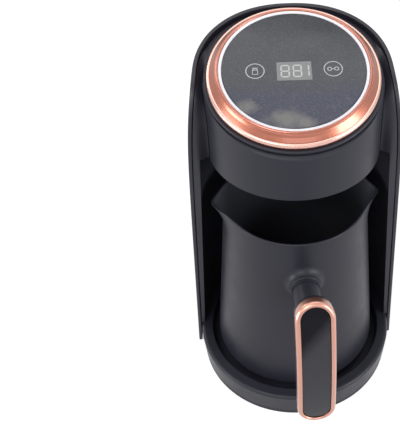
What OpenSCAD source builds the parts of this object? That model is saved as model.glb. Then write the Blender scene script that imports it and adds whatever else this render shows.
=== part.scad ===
// Electric turkish coffee maker: a tapering casing with a round control head
// over an open bay, and a cordless pot that rests on a round power coupler.
// Units are millimetres. +Z is up, the front is -Y, and the origin is the point
// of the resting plane on the axis of the pot.

/* [Casing] */
// Outside width of the casing at the floor
body_w = 137; // [130:1:150]
// Depth of the rounded back behind the straight sides, at the floor
back_depth = 55.6; // [53:0.2:62]
// Depth of the straight part of the sides, at the floor
straight_depth = 37.3; // [36:0.1:42]
// Squareness of the rounded back, where 2 is an ellipse
back_power = 2.23; // [2:0.01:2.6]
// Inward lean of the sides, in millimetres per millimetre of height
side_lean = 0.045; // [0.03:0.005:0.05]
// Forward lean of the back, in millimetres per millimetre of height
back_lean = 0.087; // [0.07:0.001:0.09]
// How far the shoulders round inwards beside the head
shoulder_in = 3.9; // [2:0.1:4.6]
// How far the back rounds forwards behind the head
nape_in = 4.3; // [2:0.1:4.6]
// Wall of the outer shell
shell_wall = 2.4; // [1.6:0.1:2.6]
// Wall of the front housing
housing_wall = 2.2; // [1.6:0.1:3]
// Gap between the outer shell and the parts it wraps
seam_gap = 0.3; // [0.2:0.05:0.5]
// How far the front housing dips behind the shell's edge beside the head
crease_set = 3.3; // [1:0.1:4]
// Height of the lower edge of the outer shell above the floor
shell_foot = 1; // [0.6:0.1:2]

/* [Cord outlet] */
// Height of the cord outlet above the floor
gland_z = 15; // [15:0.5:18]
// Radius of the opening for the mains lead
gland_bore = 2.9; // [2.5:0.1:3.2]
// Outside radius of the outlet's sleeve
gland_r = 5; // [4.6:0.1:5.2]
// Length of the outlet's sleeve outside the shell
gland_out = 8.5; // [7:0.5:10]
// Length of the outlet's sleeve inside the shell
gland_depth = 8; // [6:0.5:9]

/* [Pot bay] */
// Distance of the bay's wall inside the casing's half width, at the rim of the base
bay_side_low = 5.7; // [5.6:0.1:8]
// Distance of the bay's wall inside the casing's half width, under the head
bay_side_high = 14.3; // [13.6:0.1:15]
// Wall of the bay liner
liner_wall = 1.6; // [1.2:0.1:2]
// Height of the bay's ceiling above the underside of the head
lid_rise = 1.3; // [0.5:0.1:3]

/* [Base] */
// Height of the rim around the pot recess
rim_top = 20.5; // [19:0.5:24]
// Distance of the base's rim inside the casing's half width
rim_side = 3.8; // [3.7:0.1:5]
// How far the base tapers in from its rim to the parting line
skirt_taper = 0.9; // [0.5:0.1:3.2]
// Radius of the pot recess
recess_r = 57; // [55.5:0.5:59]
// Height of the deck the pot stands on
deck_z = 13; // [12:0.5:15]
// Height of the parting line between tray and bottom plate
parting_z = 5; // [4:0.5:7]
// Radius of a foot
foot_r = 7; // [5:0.5:9]
// Distance of each foot from the middle, across
foot_x = 40; // [34:1:44]
// Distance of the front feet ahead of the pot axis
foot_front = 33; // [28:1:38]
// Distance of the rear feet behind the pot axis
foot_rear = 62; // [54:1:66]

/* [Head] */
// Distance of the head's side inside the casing's half width
head_side = 18.5; // [17.5:0.1:19.5]
// Distance of the head axis behind the pot axis
head_y = 15.5; // [13:0.5:16.5]
// How much of the head's circle is trimmed off at the back
head_trim = 2.5; // [1.5:0.1:4]
// Backward lean of the head's front, in degrees
head_lean = 4.6; // [2:0.2:6]
// Height of the underside of the head
head_z = 165; // [162:0.5:168]
// Height of the middle of the control face's seat
ring_z = 209.1; // [205:0.1:213]
// Distance of the middle of the control face behind the head axis
ring_back = 1.6; // [1:0.1:2.4]
// Forward lean of the control face, in degrees
face_lean = 18; // [12:1:24]
// Distance of the trim ring's foot inside the head's side
ring_side = 2.1; // [2:0.1:3]
// Width of the trim ring, from its foot to its bore
ring_band = 6.9; // [6:0.1:7.6]
// Height of the trim ring
ring_h = 7.8; // [6:0.1:9]
// Wall of the head cover
head_wall = 2.2; // [1.6:0.1:3]

/* [Control face] */
// Gap between the touch panel and the light ring
panel_gap = 0.1; // [0.05:0.05:0.3]
// Depth of the touch panel's face under the top of the trim ring
panel_set = 0.6; // [0.3:0.1:1.2]
// Thickness of the touch panel
panel_t = 2; // [1.5:0.1:3]
// Width of the light ring
light_w = 1.7; // [1.4:0.1:2.4]
// Width of the digit display
display_w = 18.8; // [14:0.2:24]
// Height of the digit display
display_h = 12.4; // [9:0.2:15]
// Distance of each touch key from the middle
key_x = 21; // [17:0.5:26]

/* [Pot] */
// Outside radius of the pot at its rim
pot_rim_r = 42.5; // [40:0.5:44]
// Height of the pot's rim above the deck
pot_h = 125.5; // [124:0.5:132]
// Outward slope of the pot wall downwards, in millimetres per millimetre
pot_slope = 0.0853; // [0.06:0.005:0.09]
// Wall of the pot
pot_wall = 1.4; // [1:0.1:2]
// How far each spout stands out from the rim
spout_out = 7.6; // [6:0.2:9]
// How far the tip of each spout dips below the rim
spout_dip = 2; // [0.5:0.1:3]
// Half angle of rim that each spout takes up, in degrees
spout_half = 34; // [26:1:40]
// Height over which a spout grows out of the wall
spout_rise = 17; // [14:0.5:17]
// Turn of the pot at rest, in degrees
pot_turn = 3.5; // [0:0.5:10]
// Radius of the boss that carries the handle
boss_r = 8.8; // [8:0.1:8.9]
// Height of the handle boss above the floor
boss_z = 110; // [106:0.5:110]

/* [Handle] */
// Width of the handle
handle_w = 21.6; // [20:0.1:26]
// Length of the handle
handle_len = 85; // [78:0.1:94]
// Distance of the middle of the handle's face from the pot axis
handle_r = 97; // [92:0.5:102]
// Height of the middle of the handle above the floor
handle_z = 97; // [93:0.1:101]
// Lean of the handle, in degrees
handle_lean = 12.7; // [8:0.1:16]
// Radius of the handle's curve along its length
handle_curve = 200; // [160:5:400]
// Thickness of the handle
handle_t = 13; // [10:0.5:15]
// Width of the trim loop around the handle's face
loop_w = 2.75; // [2.4:0.05:4]
// Depth of the trim loop
loop_t = 5.8; // [4:0.1:6.5]

/* [Coupler] */
// Radius of the coupler post
post_r = 9; // [7:0.5:11]
// Height of the coupler post above the deck
post_h = 10; // [8:0.5:12]
// Radius of the coupler flange
flange_r = 20; // [17:0.5:24]
// Room around the post in the pot's connector
post_room = 1; // [0.6:0.1:1.6]

/* [View] */
// Sub-part to draw, or all of them

/* [Hidden] */

e = 0.01;
// a length that reaches past the part in every direction
far = 300;
half = body_w / 2;
bay_r_low = half - bay_side_low;
bay_r_high = half - bay_side_high;
rim_r = half - rim_side;
skirt_r = rim_r - skirt_taper;
head_r = half - head_side;
ring_r = head_r - ring_side;
ring_bore = ring_r - ring_band;
panel_h = ring_h - panel_set;
shoulder_z = ring_z + 3.9;
near = 0.3;
hole_room = 0.15;

// ---- casing surface ----
// half width, end of the straight sides and depth of the back at height z
shoulder_power = 10;
nape_power = 4.65;
// share of the back's lean that the end of the straight sides takes up
side_share = 0.815;
function half_w(z) = half - side_lean * z
  - shoulder_in * pow(z / shoulder_z, shoulder_power);
function side_y(z) = straight_depth - back_lean * side_share * z;
function back_l(z) = back_depth - back_lean * (1 - side_share) * z
  - nape_in * pow(z / shoulder_z, nape_power);
function back_y(z) = side_y(z) + back_l(z);
arc_n = 44;
function soft(v) = sign(v) * pow(abs(v), 2 / back_power);
// outline of the casing at height z, brought in by inset
function outline(z, inset, y0 = -12) = concat(
  [[half_w(z) - inset, y0]],
  [for (i = [0 : arc_n]) let (a = 180 * i / arc_n)
    [(half_w(z) - inset) * soft(cos(a)), side_y(z) + (back_l(z) - inset) * soft(sin(a))]],
  [[-half_w(z) + inset, y0]]);

low_step = 20;
top_step = 6;
low_top = head_z - 4;
casing_top = ring_z + 30.4;
low_n = ceil(low_top / low_step);
top_n = ceil((casing_top - low_top) / top_step);
levels = concat([for (i = [0 : low_n - 1]) low_top * i / low_n],
  [for (i = [0 : top_n]) low_top + (casing_top - low_top) * i / top_n]);

// solid through closed loops of equal count, listed upwards
module loft(loops) {
  n = len(loops[0]);
  m = len(loops);
  pts = [for (l = loops) each l];
  sides = [for (i = [0 : m - 2]) for (j = [0 : n - 1])
    [i * n + j, (i + 1) * n + j, (i + 1) * n + (j + 1) % n, i * n + (j + 1) % n]];
  floor_face = [[for (j = [0 : n - 1]) j]];
  top_face = [[for (j = [n - 1 : -1 : 0]) (m - 1) * n + j]];
  polyhedron(pts, concat(sides, floor_face, top_face), convexity = 6);
}
module casing(inset) {
  loft([for (z = levels) [for (p = outline(z, inset)) [p[0], p[1], z]]]);
}

// ---- front lines in side view: upright, then swept back below the ring ----
sweep_n = 16;
// free edge of the outer shell, and the line where the housing meets the head
rim_pts = [[0, head_z], [0, head_z + 30], [7, ring_z - 2.3], [20, ring_z + 1.9]];
crease_pts = [[crease_set, head_z], [crease_set - 0.5, head_z + 34],
  [crease_set + 5.1, ring_z - 9.6], [crease_set + 16.1, ring_z - 4.9]];
rim_slope = tan(face_lean);
crease_slope = tan(face_lean + 4.5);
function bez(p, t) = pow(1 - t, 3) * p[0] + 3 * pow(1 - t, 2) * t * p[1]
  + 3 * (1 - t) * t * t * p[2] + t * t * t * p[3];
function bez_d(p, t) = pow(1 - t, 2) * (p[1] - p[0]) + 2 * (1 - t) * t * (p[2] - p[1])
  + t * t * (p[3] - p[2]);
function unit(v) = v / norm(v);
// line p moved back by d, from below the floor to far behind
function side_line(p, slope, d) = let (v = unit([1, slope])) concat([[p[0][0] + d, -far]],
  [for (i = [0 : sweep_n]) let (t = i / sweep_n, u = unit(bez_d(p, t)))
    bez(p, t) + d * [u[1], -u[0]]],
  [[far, p[3][1] + (far - p[3][0]) * slope] + d * [v[1], -v[0]]]);
// everything behind the shell's edge line
module behind_rim() {
  translate([-far, 0, 0]) rotate([90, 0, 90]) linear_extrude(2 * far)
    polygon(concat(side_line(rim_pts, rim_slope, 0), [[far, -far]]));
}
// everything behind the front housing's surface moved back by d: it follows the
// crease beside the head and rises to the shell's edge line on the flanks
crease_x = head_r - 2;
flank_x = head_r + 6;
flank_n = 4;
flank_steps = [for (i = [0 : flank_n]) crease_x + (flank_x - crease_x) * i / flank_n];
stations = concat([-far], [for (i = [flank_n : -1 : 0]) -flank_steps[i]], flank_steps, [far]);
function flank_share(x) = let (u = max(0, min(1, (abs(x) - crease_x) / (flank_x - crease_x))))
  u * u * (3 - 2 * u);
module behind_housing(d) {
  inner = side_line(crease_pts, crease_slope, d);
  outer = side_line(rim_pts, rim_slope, d);
  n = len(inner);
  loft([for (x = stations) let (g = flank_share(x)) concat([[x, far, -far]],
    [for (i = [n - 1 : -1 : 0]) let (p = inner[i] * (1 - g) + outer[i] * g)
      [x, p[0], p[1]]])]);
}

// ---- bay ----
function bay_r(z) = bay_r_low + (bay_r_high - bay_r_low) * (z - rim_top)
  / (head_z - rim_top);
module bay_cone(z0, z1, d) {
  translate([0, 0, z0]) cylinder(h = z1 - z0, r1 = bay_r(z0) + d,
    r2 = bay_r(z1) + d, $fn = 160);
}

// ---- control face frame ----
ring_y = head_y + ring_back;
module on_face() { translate([0, ring_y, ring_z]) rotate([face_lean, 0, 0]) children(); }
// z of the face plane above a point
function face_z(y, h = 0) = ring_z + (y - ring_y) * tan(face_lean) + h / cos(face_lean);

// slice of the head's round body, grown by d: it leans back and is trimmed behind
module head_plan(z0, h, d) intersection() {
  translate([0, head_y, head_z]) rotate([-head_lean, 0, 0]) translate([0, 0, -far])
    cylinder(h = 2 * far, r = head_r + d, $fn = 160);
  translate([0, head_y - head_trim, z0]) cylinder(h = h, r = head_r + d, $fn = 160);
}

module outer_shell() color("#30343b") difference() {
  intersection() {
    casing(0);
    behind_rim();
    translate([-far, -5, shell_foot]) cube([2 * far, far, far]);
  }
  casing(shell_wall);
  at_gland() translate([0, 0, -gland_depth]) cylinder(h = gland_depth + gland_out,
    r = gland_r + 0.1, $fn = 48);
}

strip_set = 0.3;
// how far the room for the head starts below it
head_over = 10;
module front_housing() color("#2c3037") difference() {
  intersection() {
    casing(shell_wall + seam_gap);
    behind_housing(strip_set);
    translate([-far, -5, rim_top]) cube([2 * far, far, far]);
  }
  behind_housing(strip_set + housing_wall);
  bay_cone(rim_top - 1, lid_z, 0);
  head_plan(head_z - head_over, far, near);
}

lid_z = head_z + lid_rise;
liner_front = strip_set + housing_wall + 0.1;
board_gap = 3.6;
board_y = bay_r_low + liner_wall + board_gap;
board_z = 30;
board_w = 62;
board_hgt = 84;
board_t = 1.6;
board_hole_x = board_w / 2 - 5;
board_hole_z = board_hgt / 2 - 6;
module board_places() for (x = [-1, 1], z = [-1, 1])
  translate([x * board_hole_x, 0, board_z + board_hgt / 2 + z * board_hole_z])
    children();
lid_t = 1.6;
module bay_liner() color("#17191d") difference() {
  union() {
    bay_cone(rim_top, lid_z, liner_wall);
    // lid beside the head
    translate([0, 0, lid_z - e]) cylinder(h = lid_t + e, r = bay_r_high + liner_wall,
      $fn = 160);
    // posts for the power board
    board_places() translate([0, board_y, 0]) rotate([90, 0, 0])
      cylinder(h = board_y - board_post_end, r = board_post_r, $fn = 32);
  }
  bay_cone(rim_top - 1, lid_z, 0);
  head_plan(head_z - head_over, far, near);
  difference() {
    translate([-far, bay_front - far, -far]) cube([2 * far, far, 2 * far]);
    behind_housing(liner_front);
  }
  board_places() translate([0, board_y + e, 0]) rotate([90, 0, 0])
    cylinder(h = board_post_depth, r = 1.25, $fn = 24);
}
board_post_depth = 5;
board_post_r = 3;
// where the posts start, inside the liner's wall
board_post_end = sqrt(pow(bay_r_high, 2) - pow(board_hole_x + board_post_r, 2));
// the liner is cut back to the housing only in front of this
bay_front = 40;

// ---- base ----
screw_front = [44, 20];
screw_rear = [52, 40];
screw_xy = [[screw_front[0], -screw_front[1]], [-screw_front[0], -screw_front[1]],
  [screw_rear[0], screw_rear[1]], [-screw_rear[0], screw_rear[1]]];
foot_xy = [[foot_x, -foot_front], [-foot_x, -foot_front], [foot_x, foot_rear],
  [-foot_x, foot_rear]];
tray_wall = 2.2;
round_n = 8;
module base_tray() color("#2c3037") difference() {
  union() {
    rotate_extrude($fn = 160) polygon(concat(
      [[0, deck_z - deck_t], [skirt_r - 4, deck_z - deck_t],
        [skirt_r - tray_wall, parting_z], [skirt_r, parting_z], [rim_r, rim_top - 2]],
      [for (i = [1 : round_n]) let (a = 90 * i / round_n)
        [rim_r - 2 + 2 * cos(a), rim_top - 2 + 2 * sin(a)]],
      [for (i = [0 : round_n]) let (a = 90 * i / round_n)
        [recess_r + 1 - sin(a), rim_top - 1 + cos(a)]],
      [[recess_r - 0.6, deck_z], [0, deck_z]]));
    // rear floor, inside the outer shell
    translate([0, 0, parting_z]) linear_extrude(2.4) difference() {
      polygon(outline(parting_z + 4, shell_wall + 0.4, 0));
      circle(r = skirt_r - tray_wall + 0.2, $fn = 160);
    }
    for (p = screw_xy) translate([p[0], p[1], parting_z])
      cylinder(h = deck_z - parting_z - 1, r = 4, $fn = 32);
    flange_places() translate([0, 0, deck_z - 6]) cylinder(h = 5, r = 2.8, $fn = 32);
  }
  // coupler seat
  translate([0, 0, deck_z - 12]) cylinder(h = 20, r = seat_r, $fn = 96);
  translate([0, 0, deck_z - flange_t]) cylinder(h = 5, r = flange_r + 0.1, $fn = 96);
  for (p = screw_xy) translate([p[0], p[1], parting_z - 1])
    cylinder(h = 7, r = 1.5 + hole_room, $fn = 24);
  flange_places() translate([0, 0, deck_z - 5]) cylinder(h = 8, r = flange_screw_r + 0.05,
    $fn = 20);
  // way out for the coupler's wiring
  translate([-elbow_r - 0.6, skirt_r - 12, parting_z - 1])
    cube([2 * elbow_r + 1.2, board_y + 18 - skirt_r, deck_z - deck_t - parting_z + 1]);
}
deck_t = 2.4;
flange_t = 1.4;
flange_screw_r = 0.95;
seat_r = flange_r - 4.6;
module flange_places() for (a = [30, 150, 270]) rotate(a)
  translate([flange_r - 2.4, 0, 0]) children();
plate_z = 1.4;
plate_t = 2;
module plate_shape(d) {
  circle(r = skirt_r - 0.3 - d, $fn = 160);
  polygon(outline(parting_z, shell_wall + 0.5 + d, 0));
}
module base_plate() color("#1d1f23") difference() {
  translate([0, 0, plate_z]) linear_extrude(parting_z - plate_z) plate_shape(0);
  // hollow above the bottom wall
  translate([0, 0, plate_z + plate_t]) linear_extrude(20) difference() {
    plate_shape(1.8);
    for (p = screw_xy) translate(p) circle(r = 5, $fn = 40);
    for (p = foot_xy) translate(p) circle(r = foot_r - 1, $fn = 40);
  }
  for (p = screw_xy) translate([p[0], p[1], 0]) {
    cylinder(h = plate_z + 1.6, r = 3.2, $fn = 40);
    cylinder(h = 20, r = 1.5 + hole_room, $fn = 24);
  }
  for (p = foot_xy) translate([p[0], p[1], 0])
    cylinder(h = plate_z + 1.2, r = foot_r + 0.05, $fn = 48);
  // air slots under the power board
  for (i = [-3 : 3]) translate([i * 7 - 1.2, 40, 0]) cube([2.4, 16, 20]);
}
module rubber_feet() color("#101113") for (p = foot_xy)
  translate([p[0], p[1], 0]) rotate_extrude($fn = 48)
    polygon([[0, 0], [foot_r - 0.8, 0], [foot_r, 0.8], [foot_r, plate_z + 1.2],
      [0, plate_z + 1.2]]);
// pan screw pointing up, with the underside of its head at z = 0
module screw(r, len, head, head_t) {
  difference() {
    translate([0, 0, -head_t]) cylinder(h = head_t, r = head, $fn = 32);
    for (a = [0, 90]) rotate(a) translate([-head * 0.6, -0.3, -head_t - 1])
      cube([head * 1.2, 0.6, 1 + head_t * 0.55]);
  }
  cylinder(h = len, r = r, $fn = 24);
}
module base_screws() color("#9a9ca0") for (p = screw_xy)
  translate([p[0], p[1], plate_z + 1.6]) screw(1.5, 8, 2.9, 1.3);

// frame on the casing's back at the gland, z outwards
module at_gland() translate([0, back_y(gland_z), gland_z]) rotate([atan(back_lean), 0, 0])
  rotate([-90, 0, 0]) children();
module cord_gland() color("#141518") at_gland() difference() {
  union() {
    translate([0, 0, -gland_depth]) cylinder(h = gland_depth + 1, r = gland_r, $fn = 48);
    translate([0, 0, 0.02]) cylinder(h = 1.6, r = gland_r + 2, $fn = 48);
    translate([0, 0, 1.6]) cylinder(h = gland_out - 1.6, r1 = gland_r + 0.4,
      r2 = gland_r - 0.6, $fn = 48);
    // inner collar behind the shell wall
    translate([0, 0, -gland_depth]) cylinder(h = gland_depth - shell_wall - 0.6,
      r = gland_r + 1.6, $fn = 48);
  }
  translate([0, 0, -gland_depth - 1]) cylinder(h = gland_depth + gland_out + 2,
    r = gland_bore, $fn = 48);
}

// ---- head ----
// collar of the head cover around the trim ring, and the seam outside it
edge_r = 1.2;
collar_r = ring_r + 1.7;
seam_w = 0.7;
seam_depth = 2;
roof_t = seam_depth + 1.2;
// rounded upper edge of the head's body in front of the seam
brow_r = 3;
brow_c = collar_r + seam_w + 0.3;
brow_set = 1.3;
// the rounding ends where it runs into the head's front
brow_turn = face_lean + head_lean;
under_z = head_z + 0.4;
under_t = 2;
head_screw_r = 1.1;
head_screw_len = 7;
head_screw_head = 2.1;
head_boss_r = 4.4;
under_bolt_r = head_r - head_wall - head_trim - head_screw_head - 1.1;
underside_bolts = [80, 200, 340];
module underside_places() for (a = underside_bolts) translate([0, head_y, 0]) rotate(a)
  translate([under_bolt_r, 0, 0]) children();
module head_cover() color("#2c3037") difference() {
  intersection() {
    head_plan(head_z, far, 0);
    // collar around the ring, a seam, and the rounded upper edge of the body
    on_face() rotate_extrude($fn = 160) polygon(concat(
      [[0, -far], [2 * head_r, -far], [2 * head_r, -brow_set - 2 * brow_r]],
      [for (i = [0 : round_n]) let (a = brow_turn + (90 - brow_turn) * i / round_n)
        [brow_c + brow_r * cos(a), -brow_set - brow_r + brow_r * sin(a)]],
      [[collar_r + seam_w, -brow_set - 0.2], [collar_r + seam_w, -seam_depth],
        [collar_r, -seam_depth]],
      [for (i = [0 : round_n]) let (a = 90 * i / round_n)
        [collar_r - edge_r + edge_r * cos(a), -edge_r + edge_r * sin(a)]],
      [[0, 0]]));
  }
  // hollow
  difference() {
    head_plan(head_z - 1, far, -head_wall);
    on_face() translate([0, 0, -roof_t]) cylinder(h = far, r = far, $fn = 64);
    // bosses for the screws, joined to the wall
    underside_places() translate([head_boss_r - 2.2, 0, under_z + under_t])
      cylinder(h = 2 * head_screw_len, r = head_boss_r, $fn = 32);
  }
  on_face() translate([0, 0, -20]) cylinder(h = 40, r = seat_bore, $fn = 128);
  // way through for the wiring
  translate([-9, head_y + 30, head_z + 8]) cube([18, 40, 14]);
  underside_places() translate([0, 0, under_z]) cylinder(h = head_screw_len + 3,
    r = head_screw_r + 0.05, $fn = 20);
}
// opening in the top of the head cover, under the control face
seat_bore = ring_bore - 5.2;
sensor_y = head_y - 18;
module head_underside() color("#17191d") difference() {
  union() {
    intersection() {
      translate([0, head_y + 0.1, under_z]) cylinder(h = under_t,
        r = head_r - head_wall - near, $fn = 160);
      translate([0, head_y - head_trim, under_z]) cylinder(h = under_t,
        r = head_r - head_wall - near, $fn = 160);
    }
    translate([0, head_y, under_z]) difference() {
      cylinder(h = 5, r = under_bolt_r - 3.2, $fn = 128);
      translate([0, 0, -1]) cylinder(h = 8, r = under_bolt_r - 4.6, $fn = 128);
    }
    translate([0, sensor_y, under_z]) cylinder(h = 4, r = 8, $fn = 64);
  }
  translate([0, sensor_y, head_z - 1]) cylinder(h = 10, r = 5, $fn = 64);
  translate([0, sensor_y, head_z - 1]) cylinder(h = 2.4, r = 6.6, $fn = 64);
  underside_places() translate([0, 0, head_z - 1]) {
    cylinder(h = 10, r = head_screw_r + hole_room, $fn = 20);
    cylinder(h = 2.2, r = head_screw_head + 0.2, $fn = 32);
  }
}
module head_screws() color("#9a9ca0") underside_places()
  translate([0, 0, head_z + 1.2]) screw(head_screw_r, head_screw_len, head_screw_head, 1);

// steep lip at the foot, a fine groove, a sloping band and a raised edge at the bore
lip_h = 3.5;
lip_in = 1.35;
module trim_ring() color("#d49a80") on_face() rotate_extrude($fn = 192)
  polygon([[ring_bore, 0], [ring_r - 0.3, 0], [ring_r, 0.3], [ring_r, 0.9],
    [ring_r - lip_in, lip_h], [ring_r - lip_in - 0.3, lip_h],
    [ring_r - lip_in - 0.4, lip_h + 0.3], [ring_bore + 1.7, ring_h - 0.7],
    [ring_bore + 1.5, ring_h - 0.8], [ring_bore + 1.2, ring_h - 0.2],
    [ring_bore + 0.8, ring_h], [ring_bore + 0.2, ring_h - 0.1], [ring_bore, ring_h - 0.3]]);
light_r = ring_bore - 0.1;
module light_ring() color("#f4f5f7") on_face() rotate_extrude($fn = 160)
  polygon([[light_r - light_w, 0], [light_r, 0], [light_r, ring_h - 0.6],
    [light_r - 0.4, ring_h - 0.3], [light_r - light_w + 0.3, ring_h - 0.5],
    [light_r - light_w, ring_h - 0.8]]);
face_r = light_r - light_w - panel_gap;
module touch_panel() color("#1b1e26") on_face() translate([0, 0, panel_h - panel_t])
  cylinder(h = panel_t, r = face_r, $fn = 160);
carrier_t = 1.4;
post_depth = 4;
post_rise = 3.5;
board_r = seat_bore - 1.2;
ctrl_angles = [35, 145, 270];
ctrl_r = board_r - 4;
ctrl_t = 1.6;
module panel_carrier() color("#202226") on_face() difference() {
  union() {
    cylinder(h = carrier_t, r = face_r, $fn = 128);
    difference() {
      cylinder(h = panel_h - panel_t, r = face_r, $fn = 128);
      translate([0, 0, -1]) cylinder(h = 20, r = face_r - 2, $fn = 128);
    }
    for (a = ctrl_angles) rotate(a) translate([ctrl_r, 0, -post_depth])
      cylinder(h = post_depth + post_rise, r = 2.6, $fn = 32);
  }
  translate([-display_w / 2 - 0.3, -display_h / 2 - 2.1, -1])
    cube([display_w + 0.6, display_h + 0.6, 10]);
  for (x = [-key_x, key_x]) translate([x, -1.8, -1]) cylinder(h = 10, r = 4.6, $fn = 48);
  for (a = ctrl_angles) rotate(a) translate([ctrl_r, 0, -post_depth - e])
    cylinder(h = post_depth + post_rise - 1, r = 1, $fn = 20);
}
module display_module() color("#8b9098") on_face()
  translate([-display_w / 2, -display_h / 2 - 1.8, -post_depth])
    cube([display_w, display_h, panel_h - panel_t + post_depth]);
spring_r = 3.6;
wire_r = 0.45;
spring_turns = 5;
module touch_springs() color("#c9b26a") on_face() for (x = [-key_x, key_x])
  translate([x, -1.8, 0]) {
    h0 = -post_depth;
    h1 = panel_h - panel_t;
    pitch = (h1 - h0 - 2 * wire_r) / (spring_turns - 1);
    for (i = [0 : spring_turns - 1]) translate([0, 0, h0 + wire_r + i * pitch])
      rotate_extrude($fn = 40) translate([spring_r, 0]) circle(r = wire_r, $fn = 16);
    translate([spring_r, 0, h0 + wire_r]) cylinder(h = h1 - h0 - 2 * wire_r, r = wire_r,
      $fn = 16);
  }
module control_board() color("#1f5b3a") on_face() difference() {
  translate([0, 0, -post_depth - ctrl_t]) cylinder(h = ctrl_t, r = board_r, $fn = 96);
  for (a = ctrl_angles) rotate(a) translate([ctrl_r, 0, -20])
    cylinder(h = 40, r = 1 + hole_room, $fn = 20);
}
module control_board_screws() color("#9a9ca0") on_face() for (a = ctrl_angles)
  rotate(a) translate([ctrl_r, 0, -post_depth - ctrl_t]) screw(0.95, 5.5, 1.9, 0.9);
module buzzer() color("#15161a") on_face() translate([14, -14, -post_depth - ctrl_t - 6])
  difference() {
    cylinder(h = 6, r = 6, $fn = 48);
    translate([0, 0, -1]) cylinder(h = 3, r = 1.2, $fn = 24);
  }
led_n = 8;
module status_leds() color("#f2f0d8") on_face() for (i = [0 : led_n - 1])
  rotate(22.5 + i * 360 / led_n) translate([board_r - 3, -1.4, -post_depth])
    cube([2.4, 2.8, 1.2]);
module boil_sensor() color("#3a4048") translate([0, sensor_y, head_z + 1.4]) {
  cylinder(h = 5, r = 4.8, $fn = 48);
  translate([-6, -4.5, 3]) cube([12, 9, 1.4]);
  for (x = [-1.6, 1.6]) translate([x, 0, 4]) cylinder(h = 5, r = 0.5, $fn = 16);
}
module sensor_window() color("#55606b") translate([0, sensor_y, head_z - 0.6])
  rotate_extrude($fn = 64) polygon([[0, 0], [4.4, 0], [5.6, 0.7], [6.4, 0.7],
    [6.4, 2], [0, 2]]);

// ---- coupler on the base ----
coupler_low = parting_z + 1;
post_top = deck_z + post_h;
module coupler_base() color("#25272c") difference() {
  union() {
    translate([0, 0, coupler_low]) cylinder(h = deck_z - coupler_low,
      r = seat_r - near, $fn = 96);
    translate([0, 0, deck_z - flange_t]) cylinder(h = flange_t, r = flange_r, $fn = 96);
    translate([0, 0, deck_z - e]) cylinder(h = post_h - 1.5 + e, r = post_r, $fn = 96);
    translate([0, 0, post_top - 1.5 - e]) cylinder(h = 1.5 + e, r1 = post_r,
      r2 = post_r - 1.2, $fn = 96);
  }
  // slots for the contact rings, and the socket for the earth pin
  translate([0, 0, deck_z + 3]) difference() {
    cylinder(h = post_h, r = post_r - 2, $fn = 64);
    translate([0, 0, -1]) cylinder(h = post_h + 2, r = post_r - 3.4, $fn = 64);
  }
  translate([0, 0, deck_z + 2]) cylinder(h = post_h, r = 2.6, $fn = 48);
  flange_places() {
    translate([0, 0, deck_z - 4]) cylinder(h = 6, r = flange_screw_r + hole_room,
      $fn = 20);
    translate([0, 0, deck_z - 0.8]) cylinder(h = 6, r = 1.8, $fn = 32);
  }
}
module coupler_contacts() color("#c8a24a") {
  translate([0, 0, deck_z + 3]) difference() {
    cylinder(h = post_h - 5, r = post_r - 2, $fn = 64);
    translate([0, 0, -1]) cylinder(h = post_h, r = post_r - 2.8, $fn = 64);
  }
  translate([0, 0, deck_z + 2]) difference() {
    cylinder(h = post_h - 4, r = 2.6, $fn = 48);
    translate([0, 0, 0.8]) cylinder(h = post_h, r = 1.8, $fn = 48);
  }
}
module coupler_screws() color("#9a9ca0") flange_places()
  translate([0, 0, deck_z - 0.8]) mirror([0, 0, 1]) screw(flange_screw_r, 3.6, 1.65, 0.7);

// ---- power board in the rear column ----
module power_board() color("#6f5b2a") difference() {
  translate([-board_w / 2, board_y, board_z]) cube([board_w, board_t, board_hgt]);
  board_places() translate([0, board_y - 5, 0]) rotate([-90, 0, 0])
    cylinder(h = 20, r = 1.25 + hole_room, $fn = 20);
}
module power_board_screws() color("#9a9ca0") board_places()
  translate([0, board_y + board_t, 0]) rotate([90, 0, 0]) screw(1.2, 5.5, 2.3, 1);
part_y = board_y + board_t;
module relay() color("#2f5f9e") translate([-9, part_y, board_z + 8]) cube([18, 8, 15]);
core = [18, 6.4, 16];
coil = [11, 7.4, 20];
module transformer() color("#a33b2b") translate([0, part_y, board_z + 46]) {
  translate([-core[0] / 2, 0, -core[2] / 2]) cube(core);
  translate([-coil[0] / 2, coil_lift, -coil[2] / 2]) cube(coil);
}
coil_lift = 0.8;
module capacitor() color("#23262c") translate([-16, part_y + 4, board_z + 28])
  cylinder(h = 15, r = 4, $fn = 48);
module fuse() color("#d8d6cf") translate([13, part_y + 2.6, board_z + 10]) {
  cylinder(h = 18, r = 2.2, $fn = 32);
  for (z = [-1.5, 14.5]) translate([0, 0, z]) cylinder(h = 5, r = 2.6, $fn = 32);
}

// round run of wiring between two points
module run(a, b, r) {
  d = b - a;
  translate(a) rotate([0, acos(d[2] / norm(d)), atan2(d[1], d[0])])
    cylinder(h = norm(d), r = r, $fn = 24);
}
harness_r = 2;
elbow_r = harness_r + 0.2;
harness_x = 5;
harness_y = board_y + board_t / 2;
harness_z = head_z + 15;
plug_y = head_y + 14;
board_top = board_z + board_hgt;
module head_harness() color("#3a3d42") {
  b = [harness_x, harness_y, harness_z];
  c = [harness_x, plug_y, harness_z];
  run([harness_x, harness_y, board_top], b, harness_r);
  run(b, c, harness_r);
  run(c, [harness_x, plug_y, face_z(plug_y, -post_depth - ctrl_t) - 0.8], harness_r);
  for (p = [b, c]) translate(p) sphere(r = elbow_r, $fn = 32);
}
coupler_run_z = deck_z - deck_t - harness_r - 0.4;
module coupler_harness() color("#6b2f2a") {
  b = [0, harness_y, coupler_run_z];
  run([0, seat_r - near, coupler_run_z], b, harness_r);
  run(b, [0, harness_y, board_z], harness_r);
  translate(b) sphere(r = elbow_r, $fn = 32);
}

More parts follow.
